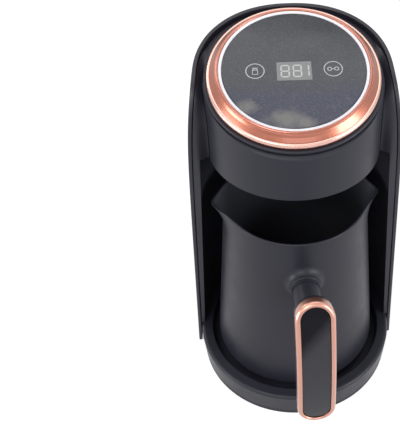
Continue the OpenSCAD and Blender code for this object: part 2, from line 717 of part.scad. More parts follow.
// ---- pot ----
rim_z = deck_z + pot_h;
function pot_r(z) = pot_rim_r + (rim_z - z) * pot_slope;
heel_z = deck_z + 3.4;
heel_r = 5;
floor_z = deck_z + 15.6;
skirt_in = pot_r(heel_z) - heel_r - 0.6;
module pot() { rotate(pot_turn) children(); }

spout_steps = 7;
ring_pts = 108;
spout_z0 = rim_z - spout_rise;
tip_round = 0.11;
// how far the facets of the spouts stand outside the round wall below them
facet_step = 0.05;
// distance from the round rim at which a spout starts to dip
dip_start = 0.35;
function near_spout(a) = let (b = (a % 180 + 180) % 180) min(b, 180 - b);
// outward lift of the wall at angle b from a spout, for height share g
function lift(b, g) = let (u = min(1, b / spout_half),
    s = sqrt(u * u + tip_round * tip_round) - tip_round)
  u < 1 ? spout_out * pow(g, 1.7) * pow(1 - s, 2.6) : 0;
function dip(b) = spout_dip * max(0, (pot_rim_r + lift(b, 1)) * cos(b) - pot_rim_r
  - dip_start) / (spout_out + 1 - dip_start);
function spout_loop(g, d) = [for (i = [0 : ring_pts - 1]) let (a = 360 * i / ring_pts,
    b = near_spout(a), r = pot_r(spout_z0 + g * spout_rise) + facet_step - d + lift(b, g))
  [r * cos(a), r * sin(a), spout_z0 + g * (spout_rise - dip(b))]];
// solid between closed loops of equal count, listed up its outside and down its inside
module tube(loops) {
  n = len(loops[0]);
  m = len(loops);
  polyhedron([for (l = loops) each l], [for (i = [0 : m - 1]) for (j = [0 : n - 1])
    let (k = (i + 1) % m, l = (j + 1) % n) [i * n + j, k * n + j, k * n + l, i * n + l]],
    convexity = 6);
}
module spouts() tube(concat(
  [for (i = [0 : spout_steps]) spout_loop(i / spout_steps, 0)],
  [for (i = [spout_steps : -1 : 0]) spout_loop(i / spout_steps, pot_wall)]));
module pot_body() color("#2e3239") pot() difference() {
  union() {
    rotate_extrude($fn = 160) polygon(concat(
      [[0, floor_z], [pot_r(floor_z) - pot_wall - 3, floor_z],
        [pot_r(floor_z) - pot_wall - 0.9, floor_z + 0.9],
        [pot_r(floor_z) - pot_wall, floor_z + 3], [pot_r(spout_z0) - pot_wall, spout_z0],
        [pot_r(spout_z0), spout_z0], [pot_r(heel_z + heel_r), heel_z + heel_r]],
      [for (i = [1 : round_n]) let (a = 90 * i / round_n)
        [pot_r(heel_z + heel_r) - heel_r + heel_r * cos(a),
          heel_z + heel_r - heel_r * sin(a)]],
      [[skirt_in - 1, heel_z], [skirt_in - 1, heel_z + pot_wall],
        [skirt_in, heel_z + pot_wall + 0.6], [skirt_in + 1.6, heel_z + heel_r],
        [pot_r(floor_z) - pot_wall - 2.6, floor_z - 2 * pot_wall],
        [pot_r(floor_z) - pot_wall - 4.4, floor_z - pot_wall],
        [0, floor_z - pot_wall]]));
    spouts();
    // boss with a flared foot
    translate([0, 0, boss_z]) rotate([90, 0, 0]) {
      cylinder(h = boss_out, r = boss_r, $fn = 64);
      rotate_extrude($fn = 64) polygon(concat([[0, 0]],
        [for (i = [0 : round_n]) let (a = 90 * i / round_n)
          [boss_r + flare_r - flare_r * sin(a), pot_r(boss_z) - 1 + flare_r * (1 - cos(a))]],
        [[0, boss_out - 1]]));
    }
  }
  // the inside stays clear of the boss
  translate([0, 0, floor_z + 3]) cylinder(h = spout_z0 - floor_z - 3,
    r1 = pot_r(floor_z + 3) - pot_wall, r2 = pot_r(spout_z0) - pot_wall, $fn = 160);
  translate([0, screw_depth - boss_out, boss_z]) rotate([90, 0, 0])
    cylinder(h = 2 * screw_depth, r = handle_screw_r, $fn = 24);
}
flare_r = 2.2;
boss_out = pot_r(boss_z) + 4.5;
handle_screw_r = 1.9;
// depth of the screw's hole in the boss
screw_depth = 3.5;

cover_top = heel_z + 4;
cover_r = skirt_in - 1.6;
conn_r = 17;
conn_hole = post_r + post_room;
conn_out = conn_hole + 1.6;
heat_boss_r = 3;
module pot_base_cover() color("#1b1d21") pot() difference() {
  rotate_extrude($fn = 128) polygon([[conn_r - 1.6, deck_z], [cover_r - 2.4, deck_z],
    [cover_r, deck_z + 2.4], [cover_r, cover_top], [cover_r - 1.6, cover_top],
    [cover_r - 1.6, deck_z + 2.8], [cover_r - 3.2, deck_z + 1.8],
    [conn_r + 1.4, deck_z + 1.8], [conn_r + 1.4, deck_z + 3], [conn_r + 0.1, deck_z + 3],
    [conn_r + 0.1, deck_z + 1.2], [conn_r - 1.6, deck_z + 1.2]]);
  for (a = pot_bolts) rotate(a) translate([bolt_r, 0, deck_z - 1]) {
    cylinder(h = 10, r = 1.4 + hole_room, $fn = 20);
    cylinder(h = 1.9, r = 2.9, $fn = 32);
  }
}
pot_screw_r = 1.05;
pot_screw_len = 7;
pot_bolts = [60, 180, 300];
bolt_r = 30;
// ring that seals the cover in the pot's skirt
module pot_seal() color("#8c2f26") pot() rotate_extrude($fn = 128)
  polygon([[cover_r + 0.05, heel_z + 0.2], [skirt_in - 1.05, heel_z + 0.2],
    [skirt_in - 1.05, heel_z + pot_wall], [skirt_in - 0.6, heel_z + pot_wall + 0.3],
    [skirt_in - 0.6, cover_top - 0.4], [cover_r + 0.05, cover_top - 0.4]]);
plate_r = pot_r(floor_z) - pot_wall - 9;
hot_t = 3;
heat_z = floor_z - pot_wall - hot_t;
module heating_plate() color("#b9bcc0") pot() difference() {
  union() {
    translate([0, 0, heat_z]) cylinder(h = hot_t, r = plate_r, $fn = 128);
    for (a = pot_bolts) rotate(a) translate([bolt_r, 0, deck_z + 1.8])
      cylinder(h = heat_z - deck_z - 1.8 + e, r = heat_boss_r, $fn = 32);
  }
  for (a = pot_bolts) rotate(a) translate([bolt_r, 0, deck_z])
    cylinder(h = pot_screw_len + 2, r = pot_screw_r + 0.05, $fn = 20);
}
tube_r = 3;
tube_path = bolt_r - heat_boss_r - tube_r - 0.5;
module heating_element() color("#6d6f73") pot() translate([0, 0, heat_z - tube_r])
  difference() {
    union() {
      rotate_extrude($fn = 96) translate([tube_path, 0]) circle(r = tube_r, $fn = 32);
      // foot that spreads the heat into the plate
      difference() {
        cylinder(h = tube_r, r = tube_path + 1.6, $fn = 96);
        translate([0, 0, -1]) cylinder(h = 9, r = tube_path - 1.6, $fn = 96);
      }
    }
    rotate(-90) translate([0, -7, -10]) cube([60, 14, 20]);
  }
sensor_r = 3;
sensor_h = 3.4;
module temperature_sensor() color("#c9ccd0") pot()
  translate([conn_out + sensor_r + 0.4, 0, heat_z - sensor_h])
    cylinder(h = sensor_h, r = sensor_r, $fn = 32);
fuse_h = 3.2;
module thermal_fuse() color("#dcd8c8") pot()
  translate([-5, conn_out + 0.8, heat_z - fuse_h]) cube([10, 4, fuse_h]);
conn_top = deck_z + post_h + 1.2;
module pot_connector() color("#e2e0d8") difference() {
  union() {
    translate([0, 0, deck_z + 1.4]) cylinder(h = conn_top - deck_z - 1.4,
      r = conn_out, $fn = 96);
    translate([0, 0, deck_z + 1.4]) cylinder(h = 1.4, r = conn_r - 0.3, $fn = 96);
    translate([0, 0, conn_top - e]) cylinder(h = heat_z - conn_top + e, r = 6, $fn = 64);
  }
  translate([0, 0, deck_z - 5]) cylinder(h = post_h + 5.4, r = conn_hole, $fn = 96);
}
module pot_contacts() color("#c8a24a") {
  translate([0, 0, deck_z + 4]) difference() {
    cylinder(h = post_h - 3.6, r = post_r - 2.95, $fn = 64);
    translate([0, 0, -1]) cylinder(h = 20, r = post_r - 3.3, $fn = 64);
  }
  translate([0, 0, deck_z + 4]) cylinder(h = post_h - 3.6, r = 1.7, $fn = 32);
}
module pot_screws() color("#9a9ca0") pot() for (a = pot_bolts) rotate(a)
  translate([bolt_r, 0, deck_z + 0.9]) screw(pot_screw_r, pot_screw_len, 2.6, 0.8);

// ---- handle ----
// face frame: x across, y up the handle, z out of its face
module on_handle() {
  translate([0, -handle_r, handle_z]) rotate([-handle_lean, 0, 0])
    rotate([90, 0, 0]) children();
}
half_len = handle_len / 2;
half_hw = handle_w / 2;
lobe_y = half_len - half_hw;
// curved slab between two depths of the handle, measured from its face
module slab(z0, z1) translate([0, 0, -handle_curve]) rotate([0, 90, 0]) difference() {
  cylinder(h = 80, r = handle_curve + z1, center = true, $fn = 256);
  cylinder(h = 90, r = handle_curve + z0, center = true, $fn = 256);
}
// outline with round ends, brought in by d
module stadium(d) translate([0, 0, -40]) linear_extrude(80) {
  for (s = [-1, 1]) translate([0, s * lobe_y]) circle(r = half_hw - d, $fn = 64);
  square([2 * (half_hw - d), 2 * lobe_y], center = true);
}
module band(d, z0, z1) intersection() {
  stadium(d);
  slab(z0, z1);
}
grip_r = half_hw + 1.1;
grip_c = -loop_t + 1.2;
lobe_turn = asin(lobe_y / handle_curve);
// round bar bent along the handle's curve
module grip_bar() translate([0, 0, -handle_curve]) {
  rotate([0, -90, 0]) rotate([0, 0, -lobe_turn]) rotate_extrude(angle = 2 * lobe_turn,
    $fn = 256) translate([handle_curve + grip_c, 0]) circle(r = grip_r, $fn = 48);
  for (s = [-1, 1]) rotate([-s * lobe_turn, 0, 0]) translate([0, 0, handle_curve + grip_c])
    sphere(r = grip_r, $fn = 48);
}
core_d = loop_w + 0.1;
insert_set = 1;
insert_t = 2.2;
module bracket_axis() translate([0, 0, boss_z]) rotate([90, 0, 0]) children();
module handle_body() color("#23262c") pot() difference() {
  union() {
    on_handle() intersection() {
      band(0.25, -handle_t, -loop_t);
      grip_bar();
    }
    on_handle() band(core_d, -loop_t - 1, -insert_set - insert_t);
  }
  bracket_axis() cylinder(h = far, r = handle_screw_r, $fn = 24);
  bracket_axis() translate([0, 0, head_at]) cylinder(h = far, r = screw_head_r + 0.3,
    $fn = 40);
}
screw_head_r = 3.3;
// centre of the handle's curve, and the distance from the pot axis of the
// handle's surface at a depth under its face, at height z
curve_y = -handle_r + handle_curve * cos(handle_lean);
curve_z = handle_z - handle_curve * sin(handle_lean);
function handle_at(depth, z) = sqrt(pow(handle_curve - depth, 2) - pow(z - curve_z, 2))
  - curve_y;
back_at = handle_at(handle_t, boss_z);
head_at = back_at + 5.5;
collar_t = 2.2;
module handle_bracket() color("#2e3239") pot() difference() {
  bracket_axis() {
    translate([0, 0, boss_out]) cylinder(h = collar_t, r = boss_r - 0.3, $fn = 64);
    translate([0, 0, boss_out + collar_t - e]) cylinder(h = back_at + handle_t - boss_out,
      r1 = boss_r - 0.8, r2 = boss_r - 2.4, $fn = 64);
  }
  on_handle() slab(-handle_t, far);
  bracket_axis() cylinder(h = far, r = handle_screw_r + hole_room, $fn = 24);
}
groove_z0 = 2.3;
groove_z1 = 3.1;
module handle_trim() color("#d49a80") pot() on_handle() difference() {
  union() {
    band(0.4, -loop_t, -0.4);
    band(0, -loop_t + 0.5, -loop_t + groove_z0);
    band(0, -loop_t + groove_z1, -0.9);
    band(0.8, -1, 0);
  }
  stadium(loop_w);
}
module handle_insert() color("#1d2027") pot() on_handle()
  band(core_d, -insert_set - insert_t, -insert_set);
module handle_screw() color("#9a9ca0") pot() bracket_axis()
  translate([0, 0, head_at]) mirror([0, 0, 1])
    screw(handle_screw_r - 0.05, head_at - boss_out + screw_depth - near, screw_head_r, 1.6);

outer_shell();
front_housing();
bay_liner();
base_tray();
base_plate();
rubber_feet();
base_screws();
cord_gland();
head_cover();
head_underside();
head_screws();
trim_ring();
light_ring();
touch_panel();
panel_carrier();
display_module();
touch_springs();
control_board();
control_board_screws();
buzzer();
status_leds();
boil_sensor();
sensor_window();
coupler_base();
coupler_contacts();
coupler_screws();
power_board();
power_board_screws();
relay();
transformer();
capacitor();
fuse();
head_harness();
coupler_harness();
pot_body();
pot_base_cover();
pot_seal();
heating_plate();
heating_element();
temperature_sensor();
thermal_fuse();
pot_connector();
pot_contacts();
pot_screws();
handle_bracket();
handle_body();
handle_trim();
handle_insert();
handle_screw();
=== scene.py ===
import math
import bpy
import numpy as np
from mathutils import Matrix, Vector


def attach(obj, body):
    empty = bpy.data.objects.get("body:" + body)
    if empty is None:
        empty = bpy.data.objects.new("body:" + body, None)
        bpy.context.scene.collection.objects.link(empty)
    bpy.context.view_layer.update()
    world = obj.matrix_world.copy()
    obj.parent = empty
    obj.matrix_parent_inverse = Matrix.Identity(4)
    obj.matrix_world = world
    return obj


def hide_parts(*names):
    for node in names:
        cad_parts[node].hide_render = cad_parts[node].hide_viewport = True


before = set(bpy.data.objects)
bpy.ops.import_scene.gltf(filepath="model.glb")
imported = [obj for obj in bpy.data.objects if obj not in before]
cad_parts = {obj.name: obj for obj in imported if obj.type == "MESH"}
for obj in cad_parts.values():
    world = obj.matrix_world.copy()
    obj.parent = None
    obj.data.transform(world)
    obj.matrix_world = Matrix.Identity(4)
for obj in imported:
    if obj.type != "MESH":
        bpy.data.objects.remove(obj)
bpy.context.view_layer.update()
scene = bpy.context.scene
MM = 0.001


# ---------------------------------------------------------------- camera, fitted to the photograph
CAMERA_AT = Vector((-21.117, -327.168, 437.059)) * MM
CAMERA_FORWARD = Vector((0.045522, 0.723263, -0.689071)).normalized()
CAMERA_RIGHT = Vector((0.998149, -0.060786, 0.002138)).normalized()
LENS, SENSOR, SHIFT_X, SHIFT_Y = 63.88, 36, -0.2243, -0.0017


def make_camera():
    """The photograph's view."""
    data = bpy.data.cameras.new("camera")
    cam = bpy.data.objects.new("camera", data)
    scene.collection.objects.link(cam)
    up = CAMERA_RIGHT.cross(CAMERA_FORWARD)
    turn = Matrix((CAMERA_RIGHT, up, -CAMERA_FORWARD)).transposed().to_4x4()
    cam.matrix_world = Matrix.Translation(CAMERA_AT) @ turn
    data.lens = LENS
    data.sensor_width = SENSOR
    data.shift_x = SHIFT_X
    data.shift_y = SHIFT_Y
    data.clip_start = 0.01
    data.clip_end = 50
    scene.camera = cam


# ---------------------------------------------------------------- materials, colours linear
# noise scales and bump heights (m) of the moulded plastics
DRIFT_SCALE, SHEEN_SCALE, COARSE_SCALE = 28.0, 60.0, 420.0
COARSE_HEIGHT, FINE_HEIGHT, SHEEN_SPREAD = 0.00006, 0.00003, 0.06
# sockets of a colour Mix node
MIX_A, MIX_B, MIX_OUT = 6, 7, 2


def new_material(name):
    """A material with its node tree and its principled shader."""
    m = bpy.data.materials.new(name)
    m.use_nodes = True
    return m, m.node_tree, m.node_tree.nodes["Principled BSDF"]


def node(nt, kind, **inputs):
    """A new node, with values for its inputs."""
    n = nt.nodes.new(kind)
    for k, v in inputs.items():
        n.inputs[k].default_value = v
    return n


def feed(nt, value, socket):
    """Links another node's output to the socket, or sets a number or a colour there."""
    if isinstance(value, bpy.types.NodeSocket):
        nt.links.new(value, socket)
    elif isinstance(value, (tuple, list)):
        socket.default_value = (*value, 1)
    else:
        socket.default_value = value


def maths(nt, operation, *values):
    """Result of a Math node on numbers or other nodes' values."""
    n = nt.nodes.new("ShaderNodeMath")
    n.operation = operation
    for value, socket in zip(values, n.inputs):
        feed(nt, value, socket)
    return n.outputs[0]


def place(nt):
    """Coordinates in the object, in metres."""
    return nt.nodes.new("ShaderNodeTexCoord").outputs["Object"]


def axes(nt):
    """The coordinates one by one, as outputs X, Y and Z."""
    at = nt.nodes.new("ShaderNodeSeparateXYZ")
    nt.links.new(place(nt), at.inputs["Vector"])
    return at.outputs


def noise(nt, scale, detail=3.0, rough=0.5):
    """Smooth noise over the object, around 0.5."""
    n = node(nt, "ShaderNodeTexNoise", Scale=scale, Detail=detail, Roughness=rough)
    nt.links.new(place(nt), n.inputs["Vector"])
    return n.outputs["Fac"]


def ramp(nt, value, a, b, lo, hi):
    """Maps value from a..b to lo..hi."""
    n = nt.nodes.new("ShaderNodeMapRange")
    nt.links.new(value, n.inputs["Value"])
    for k, v in (("From Min", a), ("From Max", b), ("To Min", lo), ("To Max", hi)):
        n.inputs[k].default_value = v
    return n.outputs["Result"]


def tint(nt, value, dark, light):
    """Colour between dark and light by value."""
    n = nt.nodes.new("ShaderNodeMix")
    n.data_type = "RGBA"
    nt.links.new(value, n.inputs["Factor"])
    feed(nt, dark, n.inputs[MIX_A])
    feed(nt, light, n.inputs[MIX_B])
    return n.outputs[MIX_OUT]


def roughen(nt, bsdf, pattern, lo, hi, a=0.3, b=0.7):
    """Roughness from lo to hi as the pattern goes from a to b."""
    nt.links.new(ramp(nt, pattern, a, b, lo, hi), bsdf.inputs["Roughness"])


def bump(nt, bsdf, height, strength, distance, chain=None):
    """Bumps from a pattern, distance in metres high, over an earlier bump or alone."""
    n = node(nt, "ShaderNodeBump", Strength=strength, Distance=distance)
    nt.links.new(height, n.inputs["Height"])
    if chain is not None:
        nt.links.new(chain, n.inputs["Normal"])
    nt.links.new(n.outputs["Normal"], bsdf.inputs["Normal"])
    return n.outputs["Normal"]


def plastic(name, dark, light, rough, grain=0.05, scale=2600.0, level=0.28):
    """Moulded plastic: a fine spark-eroded grain, faint colour drift and handling sheen."""
    m, nt, b = new_material(name)
    drift = noise(nt, DRIFT_SCALE, detail=2.0)
    nt.links.new(tint(nt, drift, dark, light), b.inputs["Base Color"])
    sheen = noise(nt, SHEEN_SCALE, detail=4.0, rough=0.6)
    roughen(nt, b, sheen, rough - SHEEN_SPREAD, rough + SHEEN_SPREAD)
    b.inputs["Specular IOR Level"].default_value = level
    coarse = bump(nt, b, noise(nt, COARSE_SCALE, detail=2.0), grain * 0.5, COARSE_HEIGHT)
    bump(nt, b, noise(nt, scale, detail=2.0, rough=0.6), grain, FINE_HEIGHT, coarse)
    return m


def metal(name, dark, light, rough, streak=0.12, lacquer=0.0):
    """Metal or metallised trim with fine uneven polish, under a clear lacquer or not."""
    m, nt, b = new_material(name)
    tone = noise(nt, 90.0, detail=3.0)
    nt.links.new(tint(nt, tone, dark, light), b.inputs["Base Color"])
    b.inputs["Metallic"].default_value = 1.0
    polish = noise(nt, 240.0, detail=4.0, rough=0.6)
    roughen(nt, b, polish, rough - 0.05, rough + 0.05, a=0.25, b=0.75)
    b.inputs["Coat Weight"].default_value = lacquer
    b.inputs["Coat Roughness"].default_value = 0.18
    streaks = noise(nt, 900.0, detail=3.0, rough=0.6)
    bump(nt, b, streaks, streak, 0.00002)
    return m


def rubber(name, dark, light):
    """Matt rubber with a coarse skin."""
    m, nt, b = new_material(name)
    nt.links.new(tint(nt, noise(nt, 120.0, detail=3.0), dark, light), b.inputs["Base Color"])
    roughen(nt, b, noise(nt, 300.0), 0.7, 0.88)
    bump(nt, b, noise(nt, 1800.0, detail=3.0), 0.25, 0.00006)
    return m


def board(name, dark, light):
    """Circuit board: solder mask with faint tracks."""
    m, nt, b = new_material(name)
    tracks = node(nt, "ShaderNodeTexBrick", Scale=240.0)
    nt.links.new(place(nt), tracks.inputs["Vector"])
    feed(nt, dark, tracks.inputs["Color1"])
    feed(nt, light, tracks.inputs["Color2"])
    feed(nt, [c * 0.6 for c in light], tracks.inputs["Mortar"])
    nt.links.new(tracks.outputs["Color"], b.inputs["Base Color"])
    roughen(nt, b, noise(nt, 400.0), 0.3, 0.45)
    bump(nt, b, tracks.outputs["Fac"], 0.2, 0.00005)
    return m


def patches(nt, spots, squash=1.4):
    """Soft cloudy patches around (x, y, radius) spots, with ragged edges."""
    total = None
    for x, y, r in spots:
        flat = nt.nodes.new("ShaderNodeVectorMath")
        flat.operation = "MULTIPLY"
        flat.inputs[1].default_value = (1, squash, 0)
        nt.links.new(place(nt), flat.inputs[0])
        d = nt.nodes.new("ShaderNodeVectorMath")
        d.operation = "DISTANCE"
        nt.links.new(flat.outputs[0], d.inputs[0])
        d.inputs[1].default_value = (x, y * squash, 0)
        spot = ramp(nt, d.outputs["Value"], r * 0.25, r, 1.0, 0.0)
        total = spot if total is None else maths(nt, "MAXIMUM", total, spot)
    ragged = ramp(nt, noise(nt, 150.0, detail=5.0, rough=0.65), 0.25, 0.75, -0.5, 0.4)
    return ramp(nt, maths(nt, "ADD", total, ragged), 0.1, 1.0, 0.0, 0.9)


# painted sky reflection on the panel: pale cloudy spots as x, y and radius in metres; and where
# the print turns into the painted dark blue reflection
REFLECTED_CLOUDS = ((-0.027, -0.0085, 0.0095), (-0.006, -0.0165, 0.013), (0.004, -0.019, 0.008))
SKY_REFLECTION_FADE = (0.008, -0.004)


def glass_panel(name, ink, navy_reflection, cloud_reflection, speck):
    """Dark printed glass: fine specks in the print, and towards the front a painted reflection of
    a dark blue, cloudy sky.
    """
    m, nt, b = new_material(name)
    # painted reflection: dark blue towards the front, with pale cloudy patches over it
    front = ramp(nt, axes(nt)["Y"], *SKY_REFLECTION_FADE, 0.0, 1.0)
    ground = tint(nt, front, ink, navy_reflection)
    ground = tint(nt, maths(nt, "MULTIPLY", patches(nt, REFLECTED_CLOUDS), front), ground, cloud_reflection)
    specks = ramp(nt, noise(nt, 1150.0, detail=2.0, rough=0.6), 0.48, 0.78, 0.0, 0.36)
    nt.links.new(tint(nt, specks, ground, speck), b.inputs["Base Color"])
    smears = noise(nt, 55.0, detail=3.0, rough=0.6)
    roughen(nt, b, smears, 0.12, 0.26, a=0.35, b=0.7)
    b.inputs["IOR"].default_value = 1.5
    bump(nt, b, noise(nt, 30.0, detail=1.0), 0.03, 0.0002)
    return m


# painted dark reflection on the insert: slant of its lower edge, and the heights in metres between
# which it fades in
INSERT_SLANT, INSERT_REFLECTION_FADE = -1.1, (0.116, 0.104)


def grip_inlay(name, dark, light, rough):
    """Glossy inlay of the handle, with a painted dark reflection and less shine towards its top.
    """
    m, nt, b = new_material(name)
    at = axes(nt)
    slant = maths(nt, "MULTIPLY_ADD", at["X"], INSERT_SLANT, at["Z"])
    # painted dark reflection across the insert's top, which is also made less shiny there
    below_painted_reflection = ramp(nt, slant, *INSERT_REFLECTION_FADE, 0.0, 1.0)
    nt.links.new(tint(nt, below_painted_reflection, [c * 0.55 for c in dark], light), b.inputs["Base Color"])
    nt.links.new(ramp(nt, below_painted_reflection, 0.0, 1.0, 0.08, 0.38), b.inputs["Specular IOR Level"])
    sheen = noise(nt, SHEEN_SCALE, detail=4.0, rough=0.6)
    roughen(nt, b, sheen, rough - 0.04, rough + 0.04)
    bump(nt, b, noise(nt, COARSE_SCALE, detail=2.0), 0.02, COARSE_HEIGHT)
    return m


def glow(name, colour, strength):
    """Lit diffuser, a little brighter where a lamp sits behind it."""
    m, nt, b = new_material(name)
    spots = ramp(nt, noise(nt, 70.0, detail=2.0), 0.3, 0.7, strength * 0.9, strength)
    feed(nt, colour, b.inputs["Base Color"])
    feed(nt, colour, b.inputs["Emission Color"])
    nt.links.new(spots, b.inputs["Emission Strength"])
    roughen(nt, b, noise(nt, 500.0), 0.35, 0.5)
    return m


M = {
    "shell": plastic("shell_plastic", (0.017, 0.017, 0.025), (0.020, 0.020, 0.029), 0.38, 0.08,
                     level=0.38),
    "housing": plastic("housing_plastic", (0.018, 0.018, 0.026), (0.021, 0.021, 0.031), 0.42, 0.1,
                       level=0.38),
    "head": plastic("head_plastic", (0.015, 0.015, 0.023), (0.018, 0.018, 0.027), 0.42, 0.1,
                    level=0.26),
    "liner": plastic("liner_plastic", (0.022, 0.023, 0.030), (0.027, 0.028, 0.037), 0.5, 0.1,
                     level=0.15),
    "pot": plastic("pot_coating", (0.015, 0.015, 0.022), (0.018, 0.018, 0.027), 0.40, 0.1, 3400.0,
                   level=0.25),
    "pot_in": plastic("pot_inside", (0.036, 0.037, 0.047), (0.044, 0.046, 0.057), 0.45, 0.1,
                      level=0.12),
    "grip": plastic("grip_plastic", (0.014, 0.014, 0.020), (0.018, 0.018, 0.025), 0.42, 0.1),
    # the insert's top gets a painted dark reflection in grip_inlay
    "insert": grip_inlay("insert_plastic", (0.013, 0.013, 0.019), (0.016, 0.016, 0.023), 0.14),
    "rose": metal("rose_gold", (0.35, 0.110, 0.066), (0.38, 0.122, 0.075), 0.29, 0.012,
                  lacquer=1.0),
    # painted highlight: a paler copy of the rose metal, for the bezel's lip
    "rose_painted_highlight": metal("rose_painted_highlight", (0.68, 0.40, 0.33), (0.72, 0.43, 0.36), 0.26, 0.01,
                       lacquer=1.0),
    # a paler copy of the rose metal, worn by the handle's loop
    "rose_pale": metal("rose_pale", (0.54, 0.262, 0.194), (0.58, 0.285, 0.214), 0.32, 0.012,
                        lacquer=1.0),
    # smoked glass: print colour, then the painted dark blue sky reflection and its pale cloudy
    # patches, then specks
    "panel": glass_panel("smoked_glass", (0.022, 0.024, 0.031), (0.013, 0.017, 0.042),
                         (0.130, 0.124, 0.116), (0.13, 0.135, 0.155)),
    "window": plastic("window_film", (0.195, 0.20, 0.205), (0.22, 0.225, 0.23), 0.35, 0.05),
    "ring": glow("ring_diffuser", (0.66, 0.645, 0.68), 0.2),
    "digit": plastic("digit_segments", (0.44, 0.46, 0.43), (0.50, 0.52, 0.49), 0.4, 0.05),
    "print": plastic("white_print", (0.40, 0.42, 0.45), (0.48, 0.50, 0.53), 0.5, 0.05),
    "rubber": rubber("black_rubber", (0.008, 0.008, 0.009), (0.014, 0.014, 0.015)),
    "steel": metal("steel", (0.45, 0.46, 0.48), (0.6, 0.61, 0.63), 0.32),
    "brass": metal("contact_brass", (0.55, 0.38, 0.15), (0.7, 0.5, 0.22), 0.3),
    "alloy": metal("plate_alloy", (0.5, 0.51, 0.53), (0.62, 0.63, 0.65), 0.45, 0.3),
    "component": plastic("component_plastic", (0.012, 0.012, 0.014), (0.02, 0.02, 0.022), 0.5),
    "nylon": plastic("nylon", (0.6, 0.58, 0.52), (0.7, 0.68, 0.62), 0.55, 0.1),
    "seal": rubber("silicone_seal", (0.20, 0.02, 0.014), (0.28, 0.035, 0.025)),
    "pcb_green": board("green_board", (0.010, 0.085, 0.038), (0.014, 0.11, 0.05)),
    "pcb_brown": board("brown_board", (0.16, 0.10, 0.025), (0.2, 0.13, 0.035)),
    "blue": plastic("relay_blue", (0.02, 0.08, 0.28), (0.03, 0.1, 0.34), 0.4),
    "red": plastic("coil_red", (0.28, 0.03, 0.02), (0.36, 0.05, 0.03), 0.45),
    "ceramic": plastic("ceramic", (0.6, 0.59, 0.55), (0.68, 0.67, 0.63), 0.35),
    "wire_dark": plastic("sleeve_dark", (0.03, 0.032, 0.036), (0.045, 0.047, 0.05), 0.55, 0.2),
    "wire_red": plastic("sleeve_red", (0.12, 0.02, 0.016), (0.16, 0.03, 0.022), 0.55, 0.2),
}
# what each solid of the CAD wears where no finer piece stands in for it
NODE_LOOKS = {
    "outer_shell": "shell", "front_housing": "housing", "bay_liner": "liner",
    "base_tray": "head", "base_plate": "liner", "rubber_feet": "rubber",
    "base_screws": "steel", "cord_gland": "rubber", "head_cover": "head",
    "head_underside": "liner", "head_screws": "steel", "trim_ring": "rose",
    "light_ring": "ring", "touch_panel": "panel", "panel_carrier": "liner",
    "display_module": "component", "touch_springs": "brass", "control_board": "pcb_green",
    "control_board_screws": "steel", "buzzer": "component", "status_leds": "ring",
    "boil_sensor": "component", "sensor_window": "panel", "coupler_base": "liner",
    "coupler_contacts": "brass", "coupler_screws": "steel", "power_board": "pcb_brown",
    "power_board_screws": "steel", "relay": "blue", "transformer": "red",
    "capacitor": "component", "fuse": "ceramic", "head_harness": "wire_dark",
    "coupler_harness": "wire_red", "pot_body": "pot", "pot_base_cover": "liner",
    "pot_seal": "seal", "heating_plate": "alloy", "heating_element": "steel",
    "temperature_sensor": "ceramic", "thermal_fuse": "ceramic", "pot_connector": "nylon",
    "pot_contacts": "brass", "pot_screws": "steel", "handle_bracket": "pot",
    "handle_body": "grip", "handle_trim": "rose_pale", "handle_insert": "insert",
    "handle_screw": "steel",
}
for name, look in NODE_LOOKS.items():
    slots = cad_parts[name].data.materials
    if not slots:
        slots.append(M[look])
    for i in range(len(slots)):
        slots[i] = M[look]


# ---------------------------------------------------------------- mesh helpers
def piece(name, verts, faces, look, body, replaces=(), sharp=35):
    """A smooth-shaded piece from points in millimetres, sharp at edges above an angle."""
    me = bpy.data.meshes.new(name)
    points = np.asarray(verts, float) * MM
    me.from_pydata(points.tolist(), [], [list(map(int, f)) for f in faces])
    me.materials.append(M[look])
    me.polygons.foreach_set("use_smooth", [True] * len(me.polygons))
    me.set_sharp_from_angle(angle=math.radians(sharp))
    ob = bpy.data.objects.new(name, me)
    scene.collection.objects.link(ob)
    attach(ob, body)
    if replaces:
        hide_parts(*replaces)
    return ob


def grid_faces(rows, cols, base=0, wrap_rows=False, wrap_cols=False, flip=False):
    """Quads over a rows x cols grid of points stored row by row."""
    out = []
    for i in range(rows if wrap_rows else rows - 1):
        here, above = base + i * cols, base + (i + 1) % rows * cols
        for j in range(cols if wrap_cols else cols - 1):
            k = (j + 1) % cols
            q = [here + j, here + k, above + k, above + j]
            out.append(q[::-1] if flip else q)
    return out


def fillet(points, radii, steps=4):
    """Rounds the corners of an open 2-D profile."""
    out = [np.array(points[0], float)]
    for a, b, c, r in zip(points, points[1:], points[2:], radii):
        a, b, c = (np.array(v, float) for v in (a, b, c))
        u, v = a - b, c - b
        lu, lv = np.linalg.norm(u), np.linalg.norm(v)
        u, v = u / lu, v / lv
        half = math.acos(max(-1, min(1, float(u @ v)))) / 2
        if r <= 0 or half > 1.55:
            out.append(b)
            continue
        cut = min(r / math.tan(half), lu * 0.48, lv * 0.48)
        rr = cut * math.tan(half)
        centre = b + (u + v) / np.linalg.norm(u + v) * rr / math.sin(half)
        p, q = b + u * cut - centre, b + v * cut - centre
        turn = math.atan2(p[0] * q[1] - p[1] * q[0], p @ q)
        for k in range(steps + 1):
            t = turn * k / steps
            out.append(centre + np.array([p[0] * math.cos(t) - p[1] * math.sin(t),
                                          p[0] * math.sin(t) + p[1] * math.cos(t)]))
    out.append(np.array(points[-1], float))
    return np.array(out)


